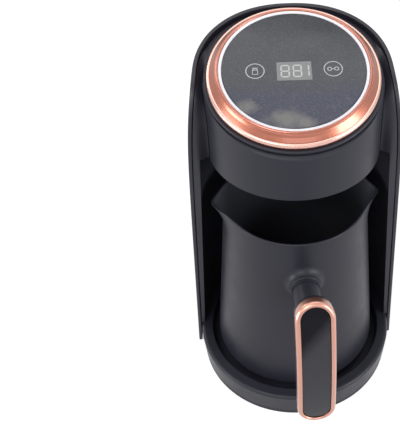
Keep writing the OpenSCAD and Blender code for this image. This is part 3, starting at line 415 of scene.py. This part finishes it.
def revolve(profile, n, close=False):
    """Points and faces of a profile of (radius, height) pairs turned about Z."""
    a = np.arange(n) * 2 * math.pi / n
    pts = np.array([[r * np.cos(a), r * np.sin(a), np.full(n, z)] for r, z in profile])
    pts = pts.transpose(0, 2, 1).reshape(-1, 3)
    return pts, grid_faces(len(profile), n, wrap_rows=close, wrap_cols=True)


def arc(cx, cy, r, a0, a1, steps):
    """Points of an arc between two angles in degrees."""
    angles = [math.radians(a0 + (a1 - a0) * i / steps) for i in range(steps + 1)]
    return [(cx + r * math.cos(a), cy + r * math.sin(a)) for a in angles]


def turned(points, degrees):
    """Points turned about Z."""
    a = math.radians(degrees)
    c, s = math.cos(a), math.sin(a)
    p = np.asarray(points, float)
    return np.stack([p[:, 0] * c - p[:, 1] * s, p[:, 0] * s + p[:, 1] * c, p[:, 2]], 1)


# ---------------------------------------------------------------- casing surface, as in the CAD
# sizes in millimetres
RING_Z, RING_Y, HEAD_Y, HEAD_Z, HEAD_R = 209.1, 17.1, 15.5, 165.0, 50.0
HALF_W, SIDE_LEAN, SHOULDER_IN = 68.5, 0.045, 3.9
SIDE_Y, BACK_L, BACK_IN = 37.3, 55.6, 4.3
BACK_LEAN, SIDE_SHARE, BACK_SHARE = 0.087, 0.815, 0.185
SHOULDER_Z = RING_Z + 3.9
FACE = math.radians(18)
SLOPE = math.tan(FACE)
SOFT = 2 / 2.23  # from the exponent of the rounded back
# control points (y, z) of the shell's edge and of the crease beside the head
RIM = [(0, HEAD_Z), (0, HEAD_Z + 30), (7, RING_Z - 2.3), (20, RING_Z + 1.9)]
CREASE = [(3.3, HEAD_Z), (2.8, HEAD_Z + 34), (8.4, RING_Z - 9.6), (19.4, RING_Z - 4.9)]
CREASE_SLOPE = math.tan(math.radians(22.5))
FOOT, SHELL_WALL, SEAM, EDGE_SET = 1.0, 2.4, 0.3, 0.75
MIRROR = np.array([-1, 1, 1])


def half_w(z):
    """Half width of the casing."""
    return HALF_W - SIDE_LEAN * z - SHOULDER_IN * (z / SHOULDER_Z) ** 10


def side_y(z):
    """Depth at which the flat side ends and the rounded back starts."""
    return SIDE_Y - BACK_LEAN * SIDE_SHARE * z


def back_l(z):
    """How far the rounded back reaches behind side_y."""
    return BACK_L - BACK_LEAN * BACK_SHARE * z - BACK_IN * (z / SHOULDER_Z) ** 4.65


def casing_at(y, z, inset):
    """Half width of the casing at that depth and height, 0 behind it."""
    s = side_y(z)
    if y <= s:
        return half_w(z) - inset
    q = (y - s) / (back_l(z) - inset)
    if q >= 1:
        return 0.0
    si = q ** (1 / SOFT)
    return (half_w(z) - inset) * max(0.0, 1 - si * si) ** (SOFT / 2)


def casing_arc(a, z, inset):
    """(x, y) on the rounded back at arc angle a from the side, 0 to pi / 2."""
    return ((half_w(z) - inset) * math.cos(a) ** SOFT if a < math.pi / 2 - 1e-9 else 0.0,
            side_y(z) + (back_l(z) - inset) * math.sin(a) ** SOFT)


def bez(p, t, d=0.0):
    """Point of the cubic curve p at t, moved back from its line by d."""
    p = np.array(p, float)
    q = ((1 - t) ** 3 * p[0] + 3 * (1 - t) ** 2 * t * p[1] + 3 * (1 - t) * t * t * p[2]
         + t ** 3 * p[3])
    v = (1 - t) ** 2 * (p[1] - p[0]) + 2 * (1 - t) * t * (p[2] - p[1]) + t * t * (p[3] - p[2])
    v = v / np.linalg.norm(v)
    return q + d * np.array([v[1], -v[0]])


def line_z(p, slope, y, d=0.0):
    """Height of the straight stretch of a side line moved back by d."""
    return p[3][1] + (y - p[3][0]) * slope - d * math.sqrt(1 + slope * slope)


# ---------------------------------------------------------------- outer shell
def rim_samples(rows=46, sweep=30, line=5, arc=72):
    """Ways to find a point of the shell's edge: kind and parameter, from the foot to the back."""
    out = [("up", i / rows) for i in range(rows)]
    out += [("bez", i / sweep) for i in range(sweep + 1)]
    out += [("line", (i + 1) / (line + 1)) for i in range(line)]
    out += [("arc", math.pi / 2 * i / arc) for i in range(arc + 1)]
    return out


def rim_point(kind, t, inset, d):
    """Point of the shell's edge, inset from its outer face and moved back by d."""
    if kind == "up":
        z = FOOT + (HEAD_Z - FOOT) * t
        return (half_w(z) - inset, d, z)
    if kind == "bez":
        y, z = bez(RIM, t, d)
        return (casing_at(y, z, inset), y, z)
    # the height that belongs to the depth, found step by step
    z, start = RING_Z, RIM[3][0]
    for _ in range(30):
        if kind == "line":
            x, y = half_w(z) - inset, start + (side_y(z) - start) * t
        else:
            x, y = casing_arc(t, z, inset)
        z = 0.5 * z + 0.5 * line_z(RIM, SLOPE, y, d)
    return (x, y, z)


def shell_mesh():
    """Rounded edge band, outer and inner wall, and the narrow foot between them."""
    samples = rim_samples()
    profile = [(0, EDGE_SET), (0.06, 0.38), (0.22, 0.12), (0.52, 0), (1.2, 0), (1.88, 0),
               (2.18, 0.12), (2.34, 0.38), (SHELL_WALL, EDGE_SET)]
    band = np.array([[rim_point(k, t, inset, d) for k, t in samples] for inset, d in profile])
    mirrored = band[:, ::-1][:, 1:] * MIRROR
    band = np.concatenate([band, mirrored], 1)
    verts = list(band.reshape(-1, 3))
    faces = grid_faces(len(profile), band.shape[1], flip=True)
    rows = next(i for i, (k, t) in enumerate(samples) if k == "bez")
    foot = []
    for inset, flip in ((0.0, False), (SHELL_WALL, True)):
        grid = []
        for kind, t in samples[rows:]:
            top = rim_point(kind, t, inset, EDGE_SET)
            column = []
            for r in range(rows + 1):
                z = FOOT + (top[2] - FOOT) * r / rows
                if kind == "arc":
                    x, y = casing_arc(t, z, inset)
                else:
                    share = (top[1] - EDGE_SET) / (side_y(top[2]) - EDGE_SET)
                    y = EDGE_SET + share * (side_y(z) - EDGE_SET)
                    x = half_w(z) - inset
                column.append((x, y, z))
            grid.append(column)
        grid = np.array(grid)
        grid = np.concatenate([grid, grid[::-1][1:] * MIRROR], 0)
        base = len(verts)
        verts += list(grid.reshape(-1, 3))
        faces += grid_faces(grid.shape[0], grid.shape[1], base, flip=flip)
        foot.append([base + c * (rows + 1) for c in range(grid.shape[0])])
    outer, inner = foot
    faces += [[a, d, c, b] for a, b, c, d in zip(outer, outer[1:], inner[1:], inner)]
    return weld(np.array(verts), faces)


def weld(verts, faces, digits=4):
    """Joins points that lie on each other and drops faces that vanish."""
    keys, index, out = {}, [], []
    for v in np.round(verts, digits):
        k = tuple(v + 0.0)  # makes -0.0 and 0.0 one key
        if k not in keys:
            keys[k] = len(out)
            out.append(v)
        index.append(keys[k])
    kept = []
    for f in faces:
        g = []
        for i in f:
            if index[i] not in g:
                g.append(index[i])
        if len(g) > 2:
            kept.append(g)
    return np.array(out), kept


verts, faces = shell_mesh()
piece("shell_skin", verts, faces, "shell", "casing", ["outer_shell"], sharp=50)


# ---------------------------------------------------------------- front housing
CREASE_X, FLANK_X, STRIP_SET, HOUSING_WALL = HEAD_R - 2, HEAD_R + 6, 0.3, 2.2
LOW_Z, FAR_Y, WIDEST = -20, 150.0, 75.0
RIM_TOP, LID_Z = 20.5, HEAD_Z + 1.3
BAY_LOW_R, BAY_TOP_R = 62.8, 54.2
HEAD_LEAN, HEAD_TRIM, HEAD_GAP = math.radians(4.6), 2.5, 0.3
HALVINGS = 40
# where the strips start and the panel begins, as x on the housing; step to the panel's end
STRIP_X, LID_X, TAU_STEP = 60, 54, 0.002


def side_point(p, slope, tau, d):
    """Point of a side line at tau: 0 to 1 upright, 1 to 2 swept, 2 to 3 straight back."""
    if tau <= 1:
        return np.array([p[0][0] + d, LOW_Z + (HEAD_Z - LOW_Z) * tau])
    if tau <= 2:
        return bez(p, tau - 1, d)
    a = bez(p, 1, d)
    n = math.sqrt(1 + slope * slope)
    b = np.array([FAR_Y + d * slope / n, p[3][1] + (FAR_Y - p[3][0]) * slope - d / n])
    return a + (b - a) * (tau - 2)


def housing_point(x, tau, d):
    """(y, z) of the housing's face at x: crease line near the head, rim line near the shell."""
    u = max(0.0, min(1.0, (abs(x) - CREASE_X) / (FLANK_X - CREASE_X)))
    g = u * u * (3 - 2 * u)
    return (side_point(CREASE, CREASE_SLOPE, tau, d) * (1 - g)
            + side_point(RIM, SLOPE, tau, d) * g)


def head_x(y, z, grow):
    """Half width of the head, grown, at that depth and height."""
    r = HEAD_R + grow
    u = (y - HEAD_Y) * math.cos(HEAD_LEAN) - (z - HEAD_Z) * math.sin(HEAD_LEAN)
    w = y - (HEAD_Y - HEAD_TRIM)
    m = max(abs(u), abs(w))
    return math.sqrt(r * r - m * m) if m < r else 0.0


def bay_x(y, z):
    """Half width of the bay at that depth and height."""
    r = BAY_LOW_R + (BAY_TOP_R - BAY_LOW_R) * (z - RIM_TOP) / (HEAD_Z - RIM_TOP)
    return math.sqrt(max(0.0, r * r - y * y))


def solve_x(tau, d, width):
    """x where the housing's surface meets width(y, z), by bisection from outside."""
    lo, hi = 0.0, WIDEST
    for _ in range(HALVINGS):
        x = (lo + hi) / 2
        y, z = housing_point(x, tau, d)
        if width(y, z) > x:
            lo = x
        else:
            hi = x
    return (lo + hi) / 2


def tau_at(z, x):
    """tau at which the housing's front face reaches that height."""
    lo, hi = 0.0, 3.0
    for _ in range(HALVINGS):
        t = (lo + hi) / 2
        if housing_point(x, t, STRIP_SET)[1] < z:
            lo = t
        else:
            hi = t
    return lo


def housing_part(taus, inner, cols):
    """Front and rear faces of one stretch of the housing, right half, with its rims."""
    verts = []
    for d in (STRIP_SET, STRIP_SET + HOUSING_WALL):
        for tau in taus:
            xo = solve_x(tau, d, lambda y, z: casing_at(y, z, SHELL_WALL + SEAM))
            xi = min(xo, solve_x(tau, d, inner))
            for j in range(cols):
                x = xo + (xi - xo) * (j / (cols - 1))
                verts.append((x, *housing_point(x, tau, d)))
    rows = len(taus)
    base = rows * cols
    faces = grid_faces(rows, cols, flip=True) + grid_faces(rows, cols, base)
    for i in range(rows - 1):
        a, b = i * cols, (i + 1) * cols
        faces.append([a, a + base, b + base, b])
        a, b = a + cols - 1, b + cols - 1
        faces.append([a, b, b + base, a + base])
    for i in (0, rows - 1):
        for j in range(cols - 1):
            a = i * cols + j
            q = [a, a + 1, a + 1 + base, a + base]
            faces.append(q if i == 0 else q[::-1])
    return verts, faces


def housing_mesh():
    """Both halves of the strips beside the bay and of the panel around the head."""
    t0, t1 = tau_at(RIM_TOP, STRIP_X), tau_at(LID_Z, LID_X)
    lower = housing_part(np.linspace(t0, t1, 40), bay_x, cols=10)
    end = 2.0
    while casing_at(*housing_point(0, end, STRIP_SET), SHELL_WALL + SEAM) > 0:
        end += TAU_STEP
    upper_taus = np.concatenate([np.linspace(t1, 2, 44), np.linspace(2, end, 64)[1:]])
    upper = housing_part(upper_taus, lambda y, z: head_x(y, z, HEAD_GAP), cols=26)
    verts, faces = [], []
    for v, f in (lower, upper):
        for side in (1, -1):
            base = len(verts)
            verts += [(x * side, y, z) for x, y, z in v]
            faces += [[i + base for i in (q if side > 0 else q[::-1])] for q in f]
    return weld(np.array(verts), faces)


verts, faces = housing_mesh()
piece("housing_skin", verts, faces, "housing", "casing", ["front_housing"],
      sharp=40)


# ---------------------------------------------------------------- control face
def on_face(points):
    """From the control face's own frame to the part's frame."""
    p = np.asarray(points, float)
    c, s = math.cos(FACE), math.sin(FACE)
    return np.stack([p[:, 0], RING_Y + p[:, 1] * c - p[:, 2] * s,
                     RING_Z + p[:, 1] * s + p[:, 2] * c], 1)


# the bezel: bore, radius and height, and the bead along its outer lip
RING_BORE, RING_R, RING_H, LIP_H, LIP_IN = 41.0, 47.9, 7.8, 3.5, 1.35
LIP_R = RING_R - LIP_IN
BEAD_Z, BEAD_H = 1.3, 2.2
BEAD = [(LIP_R + LIP_IN * math.cos(math.radians(a)), BEAD_Z + BEAD_H * math.sin(math.radians(a)))
        for a in range(0, 100, 10)]
ring = fillet([(RING_BORE, 0), (RING_R - 0.3, 0), (RING_R, 0.3), *BEAD,
               (LIP_R - 0.5, LIP_H - 0.1), (LIP_R - 0.65, LIP_H + 0.3),
               (LIP_R - 2.6, LIP_H + 2.1), (RING_BORE + 1.75, RING_H - 0.75),
               (RING_BORE + 1.45, RING_H - 0.85), (RING_BORE + 1.2, RING_H - 0.2),
               (RING_BORE + 0.8, RING_H), (RING_BORE + 0.2, RING_H - 0.1),
               (RING_BORE, RING_H - 0.3)],
              [0.1, 0.2, *[0] * len(BEAD), 0.1, 0.15, 1.6, 0.2, 0.1, 0.15, 0.2, 0.15], 4)
verts, faces = revolve(ring, 256, close=True)
ring_skin = piece("ring_skin", on_face(verts), faces, "rose", "casing", ["trim_ring"],
                  sharp=60)
# painted highlight: a paler copy of the rose metal on the faces of the lip above its foot
ring_skin.data.materials.append(M["rose_painted_highlight"])
HIGHLIGHT_R, HIGHLIGHT_LOW, HIGHLIGHT_TOP = LIP_R - 0.25, 1.7, LIP_H + 0.1
radii = np.hypot(verts[:, 0], verts[:, 1])
ring_skin.data.polygons.foreach_set("material_index", [
    int(radii[f].mean() > HIGHLIGHT_R and HIGHLIGHT_LOW < verts[f, 2].mean() < HIGHLIGHT_TOP) for f in faces])

PANEL_H, PANEL_R, PANEL_T, PANEL_SIDES = 7.2, 39.1, 2, 192
WINDOW_RISE, BAR_RISE, BAR_W, BAR_GAP = 0.03, 0.04, 0.8, 0.16
DIGIT_Y, DIGIT_H = -1.8, 7.6
# middle, width and lit bars of each digit
DIGITS = ((-4.9, 4.2, "abcdefg"), (1.7, 4.2, "abcdefg"), (6.6, 2.4, "bc"))


def flat_shape(outline, z0, z1):
    """Thin inlay with an outline of (x, y) points, between two heights of the face."""
    n = len(outline)
    verts = [(x, y, z0) for x, y in outline] + [(x, y, z1) for x, y in outline]
    faces = [list(range(n, 2 * n)), list(range(n))[::-1]]
    faces += [[i, (i + 1) % n, n + (i + 1) % n, n + i] for i in range(n)]
    return verts, faces


def rounded_box(x0, y0, x1, y1, r, steps=5):
    """Outline of a box with round corners."""
    corners = ((x1 - r, y1 - r), (x0 + r, y1 - r), (x0 + r, y0 + r), (x1 - r, y0 + r))
    return [p for k, (cx, cy) in enumerate(corners)
            for p in arc(cx, cy, r, 90 * k, 90 * k + 90, steps)]


def join(parts):
    """Points and faces of several parts as one."""
    verts, faces = [], []
    for v, f in parts:
        base = len(verts)
        verts += list(v)
        faces += [[i + base for i in q] for q in f]
    return verts, faces


def loop_band(cx, cy, r, w, z0, z1, n=56, a0=0.0, a1=360.0):
    """Flat ring, or an arc of one, around a point of the face."""
    whole = a1 - a0 >= 360
    count = n if whole else n + 1
    angles = [math.radians(a0 + (a1 - a0) * i / n) for i in range(count)]
    rows = [[(cx + q * math.cos(a), cy + q * math.sin(a), z) for a in angles]
            for q, z in ((r - w / 2, z0), (r + w / 2, z0), (r + w / 2, z1), (r - w / 2, z1))]
    return [p for row in rows for p in row], grid_faces(4, count, wrap_rows=True, wrap_cols=whole)


def segment(x0, y0, x1, y1, w, z0, z1):
    """Flat bar with pointed ends, for the digits and the marks on the keys."""
    d = np.array([x1 - x0, y1 - y0], float)
    length = np.linalg.norm(d)
    d /= length
    n = np.array([-d[1], d[0]]) * w / 2
    a, b = np.array([x0, y0]), np.array([x1, y1])
    t = d * w / 2
    pts = [a, a + t - n, b - t - n, b, b - t + n, a + t + n]
    return flat_shape([tuple(p) for p in pts], z0, z1)


def digit(cx, cy, w, h, lit):
    """Bars of a seven-segment digit centred on (cx, cy)."""
    bars = {"a": (0, h, w, h), "b": (w, h, w, h / 2), "c": (w, h / 2, w, 0), "d": (0, 0, w, 0),
            "e": (0, h / 2, 0, 0), "f": (0, h, 0, h / 2), "g": (0, h / 2, w, h / 2)}
    out = []
    for k in lit:
        x0, y0, x1, y1 = bars[k]
        length = math.hypot(x1 - x0, y1 - y0)
        ux, uy = (x1 - x0) / length * BAR_GAP, (y1 - y0) / length * BAR_GAP
        out.append(segment(cx - w / 2 + x0 + ux, cy - h / 2 + y0 + uy,
                           cx - w / 2 + x1 - ux, cy - h / 2 + y1 - uy, BAR_W,
                           PANEL_H + WINDOW_RISE, PANEL_H + WINDOW_RISE + BAR_RISE))
    return out


panel = fillet([(0, PANEL_H - PANEL_T), (PANEL_R - 0.1, PANEL_H - PANEL_T),
                (PANEL_R - 0.1, PANEL_H), (0, PANEL_H)], [0.2, 0.35], 4)
verts, faces = revolve(panel[1:-1], PANEL_SIDES)
faces.append(list(range(len(verts) - PANEL_SIDES, len(verts))))
faces.append(list(range(PANEL_SIDES))[::-1])
piece("panel_skin", on_face(verts), faces, "panel", "casing", ["touch_panel"],
      sharp=60)

window = rounded_box(-9.4, -8.0, 9.4, 4.4, 0.5)
verts, faces = flat_shape(window, PANEL_H - 0.5, PANEL_H + WINDOW_RISE)
piece("display_window", on_face(verts), faces, "window", "casing")
parts = []
for cx, width, lit in DIGITS:
    parts += digit(cx, DIGIT_Y, width, DIGIT_H, lit)
verts, faces = join(parts)
piece("display_digits", on_face(verts), faces, "digit", "casing")

PRINT = (PANEL_H - 0.2, PANEL_H + 0.02)
KEY_X, KEY_Y, KEY_R, LINE_W = 21, -1.1, 4.9, 0.45
parts = [loop_band(x, KEY_Y, KEY_R, 0.5, *PRINT) for x in (-KEY_X, KEY_X)]
# left key: a plain carton, right key: two plain beads
parts.append(loop_band(-KEY_X, KEY_Y - 0.8, 2.0, LINE_W, *PRINT, n=4, a0=45, a1=405))
parts.append(segment(-KEY_X - 1.6, 0.9, -KEY_X + 1.6, 0.9, LINE_W, *PRINT))
parts.append(segment(-KEY_X - 1.4, -0.4, -KEY_X, 0.9, 0.4, *PRINT))
parts.append(segment(-KEY_X + 1.4, -0.4, -KEY_X, 0.9, 0.4, *PRINT))
for dx in (-1.9, 1.9):
    parts.append(loop_band(KEY_X + dx, KEY_Y, 1.1, LINE_W, *PRINT, n=24))
parts.append(segment(KEY_X - 0.6, KEY_Y, KEY_X + 0.6, KEY_Y, LINE_W, *PRINT))
verts, faces = join(parts)
piece("key_marks", on_face(verts), faces, "print", "casing")


# ---------------------------------------------------------------- pot
DECK, POT_H, POT_R, POT_SLOPE, POT_WALL, POT_TURN = 13.0, 125.5, 42.5, 0.0853, 1.4, 3.5
POT_RIM_Z = DECK + POT_H
SPOUT_OUT, SPOUT_DIP, SPOUT_HALF, SPOUT_RISE = 7.6, 2.0, 34.0, 17.0
SPOUT_Z0 = POT_RIM_Z - SPOUT_RISE
SPOUT_TIP, DIP_START = 0.11, 0.35
HEEL_Z, HEEL_R, POT_LIP = DECK + 3.4, 5.0, 0.5
FLOOR_Z, FLOOR_R, WALL_END = DECK + 15.6, 3.2, 3.4
BOSS_R, BOSS_Z, BOSS_OUT, BOSS_SINK = 8.8, 110.0, 4.5, 0.03


def pot_r(z):
    """Outer radius of the pot between its spouts."""
    return POT_R + (POT_RIM_Z - z) * POT_SLOPE


def lift(b, g):
    """How far the spout stands out, b degrees from its middle and g of the way up it."""
    u = min(1.0, b / SPOUT_HALF)
    s = math.sqrt(u * u + SPOUT_TIP ** 2) - SPOUT_TIP
    return SPOUT_OUT * g ** 1.7 * (1 - s) ** 2.6 if u < 1 else 0.0


def dip(b):
    """How far the lip dips in the spout, b degrees from its middle."""
    x = (POT_R + lift(b, 1)) * math.cos(math.radians(b)) - POT_R - DIP_START
    soft = (x + math.sqrt(x * x + 0.6)) / 2 - 0.05
    return SPOUT_DIP * max(0.0, soft) / (SPOUT_OUT + 1 - DIP_START)


def rise(z):
    """Share of the spouts' height at z."""
    return max(0.0, (z - SPOUT_Z0) / SPOUT_RISE)


def pot_mesh(n=288):
    """The pot's wall and floor, and the number of its first face inside."""
    # (radius, height, share of the spouts' height) of the underside and heel
    skirt, heel, w = pot_r(HEEL_Z) - HEEL_R - 0.6, HEEL_Z + HEEL_R, POT_WALL
    profile = [(skirt - 1, HEEL_Z, 0), (skirt + 0.2, HEEL_Z, 0)]
    profile += [(r, z, 0) for r, z in arc(pot_r(heel) - HEEL_R, heel, HEEL_R, -90, 0, 12)]
    # straight wall, spout zone and lip
    for i in range(1, 13):
        z = heel + (SPOUT_Z0 - heel) * i / 12
        profile.append((pot_r(z), z, 0))
    for i in range(1, 19):
        z = SPOUT_Z0 + (SPOUT_RISE - POT_LIP) * i / 18
        profile.append((pot_r(z), z, rise(z)))
    for a in map(math.radians, (30, 60, 90, 120, 150)):
        profile.append((POT_R - w / 2 + w / 2 * math.cos(a),
                        POT_RIM_Z - POT_LIP + POT_LIP * math.sin(a), 1))
    # inside and floor
    inner = len(profile) - 1
    for i in range(19):
        z = POT_RIM_Z - POT_LIP - (SPOUT_RISE - POT_LIP) * i / 18
        profile.append((pot_r(z) - w, z, rise(z)))
    for i in range(1, 9):
        z = SPOUT_Z0 - (SPOUT_Z0 - FLOOR_Z - WALL_END) * i / 8
        profile.append((pot_r(z) - w, z, 0))
    bend = arc(pot_r(FLOOR_Z) - w - FLOOR_R, FLOOR_Z + FLOOR_R, FLOOR_R, 0, -90, 7)
    profile += [(r, z, 0) for r, z in bend[1:] + [(20, FLOOR_Z), (0.01, FLOOR_Z)]]
    verts = []
    for radius, z, g in profile:
        for i in range(n):
            deg = 360 * i / n
            b = min(deg % 180, 180 - deg % 180)
            a, r = math.radians(deg), radius + lift(b, g)
            verts.append((r * math.cos(a), r * math.sin(a), z - dip(b) * g ** 1.5))
    return verts, grid_faces(len(profile), n, wrap_cols=True), inner * n


def boss_mesh(fillet_r=4.2, n=72, steps=14):
    """Boss for the handle, blended into the pot's wall."""
    end = pot_r(BOSS_Z) + BOSS_OUT
    verts = []
    for k in range(steps + 1):
        t = k / steps * math.pi / 2
        rho, out = BOSS_R + fillet_r * (1 - math.sin(t)), fillet_r * (1 - math.cos(t))
        for i in range(n):
            a = 2 * math.pi * i / n
            x, z = rho * math.cos(a), BOSS_Z + rho * math.sin(a)
            depth = math.sqrt(max(0.0, pot_r(z) ** 2 - x * x)) + out - BOSS_SINK
            verts.append((x, -min(depth, end - 0.6), z))
    for rho, depth in ((BOSS_R, end - 0.5), (BOSS_R - 0.15, end - 0.12), (BOSS_R - 0.5, end),
                       (2.0, end)):
        for i in range(n):
            a = 2 * math.pi * i / n
            verts.append((rho * math.cos(a), -depth, BOSS_Z + rho * math.sin(a)))
    return verts, grid_faces(len(verts) // n, n, wrap_cols=True)


*wall, first_inner = pot_mesh()
verts, faces = join([wall, boss_mesh()])
pot_skin = piece("pot_skin", turned(verts, POT_TURN), faces, "pot", "pot", ["pot_body"],
                 sharp=50)
pot_skin.data.materials.append(M["pot_in"])
pot_skin.data.polygons.foreach_set(
    "material_index", [int(first_inner <= i < len(wall[1])) for i in range(len(faces))])


# ---------------------------------------------------------------- handle
HANDLE_W, HANDLE_LEN, HANDLE_R, HANDLE_Z = 21.6, 85.0, 97.0, 97.0
HANDLE_LEAN, CURVE, LOOP_W, LOOP_T = math.radians(12.7), 200.0, 2.75, 5.8


def on_handle(points):
    """From (across, along, depth) on the curved handle to the pot's frame, turned with the pot."""
    out = []
    c, s = math.cos(HANDLE_LEAN), math.sin(HANDLE_LEAN)
    for x, y, d in points:
        # how far the point stands out of the handle's middle plane, before the lean
        z = math.sqrt((CURVE + d) ** 2 - y * y) - CURVE
        out.append((x, -HANDLE_R - z * c + y * s, HANDLE_Z + z * s + y * c))
    return turned(out, POT_TURN)


def stadium(offset, n=30, side=22):
    """Outline with round ends, brought in by offset."""
    r, lobe = HANDLE_W / 2 - offset, HANDLE_LEN / 2 - HANDLE_W / 2
    out = []
    for i in range(n):
        a = math.pi * i / n
        out.append((r * math.cos(a), lobe + r * math.sin(a)))
    for i in range(side):
        out.append((-r, lobe - 2 * lobe * i / side))
    for i in range(n):
        a = math.pi + math.pi * i / n
        out.append((r * math.cos(a), -lobe + r * math.sin(a)))
    for i in range(side):
        out.append((r, -lobe + 2 * lobe * i / side))
    return out


def swept(section, **how):
    """A section of (offset from the handle's edge, depth) pairs, taken round the handle."""
    rings = [[(x, y, d) for x, y in stadium(o)] for o, d in section]
    verts = on_handle([p for ring in rings for p in ring])
    return verts, grid_faces(len(rings), len(rings[0]), wrap_cols=True, **how)


loop = fillet([(LOOP_W, -LOOP_T + 0.4), (LOOP_W - 0.4, -LOOP_T), (0.5, -LOOP_T),
               (0.0, -LOOP_T + 0.5), (0.0, -1.1), (1.1, 0.0), (LOOP_W - 0.6, 0.0),
               (LOOP_W, -0.5), (LOOP_W, -LOOP_T + 0.4)],
              [0.2, 0.2, 0.2, 1.6, 0.9, 0.35, 0.2], 5)[:-1]
verts, faces = swept(loop, wrap_rows=True, flip=True)
piece("loop_skin", verts, faces, "rose_pale", "pot", ["handle_trim"], sharp=60)

insert = ((LOOP_W + 0.05, -3.2), (LOOP_W + 0.05, -1.5), (LOOP_W + 0.12, -1.12),
          (LOOP_W + 0.35, -0.98), (LOOP_W + 0.8, -0.95), (5, -0.92), (7, -0.9), (9, -0.9),
          (10.6, -0.9), (HANDLE_W / 2 - 0.001, -0.9))
verts, faces = swept(insert)
piece("insert_skin", verts, faces, "insert", "pot", ["handle_insert"], sharp=60)


# ---------------------------------------------------------------- floor, light, world
FLOOR_HALF, FLOOR_DROP, FLOOR_SHINE = 6.0, -0.0001, 0.8
FLOOR_LIT, FLOOR_SEEN = (0.62, 0.62, 0.63), (0.30, 0.30, 0.305)
WORLD_LIGHT, WORLD_SEEN = 0.3, 1.0
# name, place, aim, width, height and watts
LAMPS = (
    ("key", (-0.45, -0.8, 1.15), (0, 0, 0.14), 0.7, 0.7, 7),
    ("left_strip", (-0.95, -0.3, 0.2), (0, 0, 0.12), 0.45, 0.55, 6),
    ("right_strip", (0.9, -0.55, 0.5), (0, 0, 0.14), 0.5, 0.8, 10),
    ("front", (0.1, -1.35, 0.75), (0, 0, 0.2), 0.9, 0.4, 1.5),
    ("rear_left", (-0.85, 0.6, 0.95), (0, 0.03, 0.2), 0.5, 0.5, 2.5),
    ("top", (0.05, 0.28, 1.25), (0, 0.03, 0.2), 0.9, 0.7, 2.4),
)


def split_rays(nt, lit, seen, output):
    """Shows seen to camera, glossy and transmission rays, and lit to the rest."""
    path = nt.nodes.new("ShaderNodeLightPath").outputs
    direct = path["Is Camera Ray"]
    for kind in ("Is Glossy Ray", "Is Transmission Ray"):
        direct = maths(nt, "MAXIMUM", direct, path[kind])
    mix = nt.nodes.new("ShaderNodeMixShader")
    nt.links.new(direct, mix.inputs["Fac"])
    nt.links.new(lit, mix.inputs[1])
    nt.links.new(seen, mix.inputs[2])
    nt.links.new(mix.outputs["Shader"], nt.nodes[output].inputs["Surface"])


def make_stage():
    """Pale floor, nearly white for the rays that see it directly."""
    me = bpy.data.meshes.new("floor")
    corners = ((-1, -1), (1, -1), (1, 1), (-1, 1))
    me.from_pydata([(x * FLOOR_HALF, y * FLOOR_HALF, FLOOR_DROP) for x, y in corners], [],
                   [[0, 1, 2, 3]])
    ob = bpy.data.objects.new("floor", me)
    scene.collection.objects.link(ob)
    m, nt, b = new_material("floor_paper")
    feed(nt, FLOOR_LIT, b.inputs["Base Color"])
    b.inputs["Roughness"].default_value = 0.9
    b.inputs["Specular IOR Level"].default_value = 0.1
    shine = node(nt, "ShaderNodeEmission", Strength=FLOOR_SHINE)
    matt = node(nt, "ShaderNodeBsdfDiffuse", Color=(*FLOOR_SEEN, 1))
    both = nt.nodes.new("ShaderNodeAddShader")
    nt.links.new(matt.outputs["BSDF"], both.inputs[0])
    nt.links.new(shine.outputs["Emission"], both.inputs[1])
    split_rays(nt, b.outputs["BSDF"], both.outputs["Shader"], "Material Output")
    me.materials.append(m)


def make_world():
    """White where it is seen directly, and a dim even light for the rest."""
    world = bpy.data.worlds.new("world")
    scene.world = world
    world.use_nodes = True
    nt = world.node_tree
    dim = nt.nodes["Background"]
    white = nt.nodes.new("ShaderNodeBackground")
    for background, strength in ((dim, WORLD_LIGHT), (white, WORLD_SEEN)):
        background.inputs["Color"].default_value = (1, 1, 1, 1)
        background.inputs["Strength"].default_value = strength
    split_rays(nt, dim.outputs["Background"], white.outputs["Background"], "World Output")


def area(name, at, to, width, height, watts):
    """Rectangular lamp at a place, aimed at another."""
    data = bpy.data.lights.new(name, "AREA")
    data.energy = watts
    data.shape = "RECTANGLE"
    data.size, data.size_y = width, height
    ob = bpy.data.objects.new(name, data)
    scene.collection.objects.link(ob)
    ob.location = at
    ob.rotation_mode = "QUATERNION"
    ob.rotation_quaternion = (Vector(to) - Vector(at)).to_track_quat("-Z", "Y")


make_stage()
make_world()
for lamp in LAMPS:
    area(*lamp)
make_camera()
scene.view_settings.view_transform = "Standard"
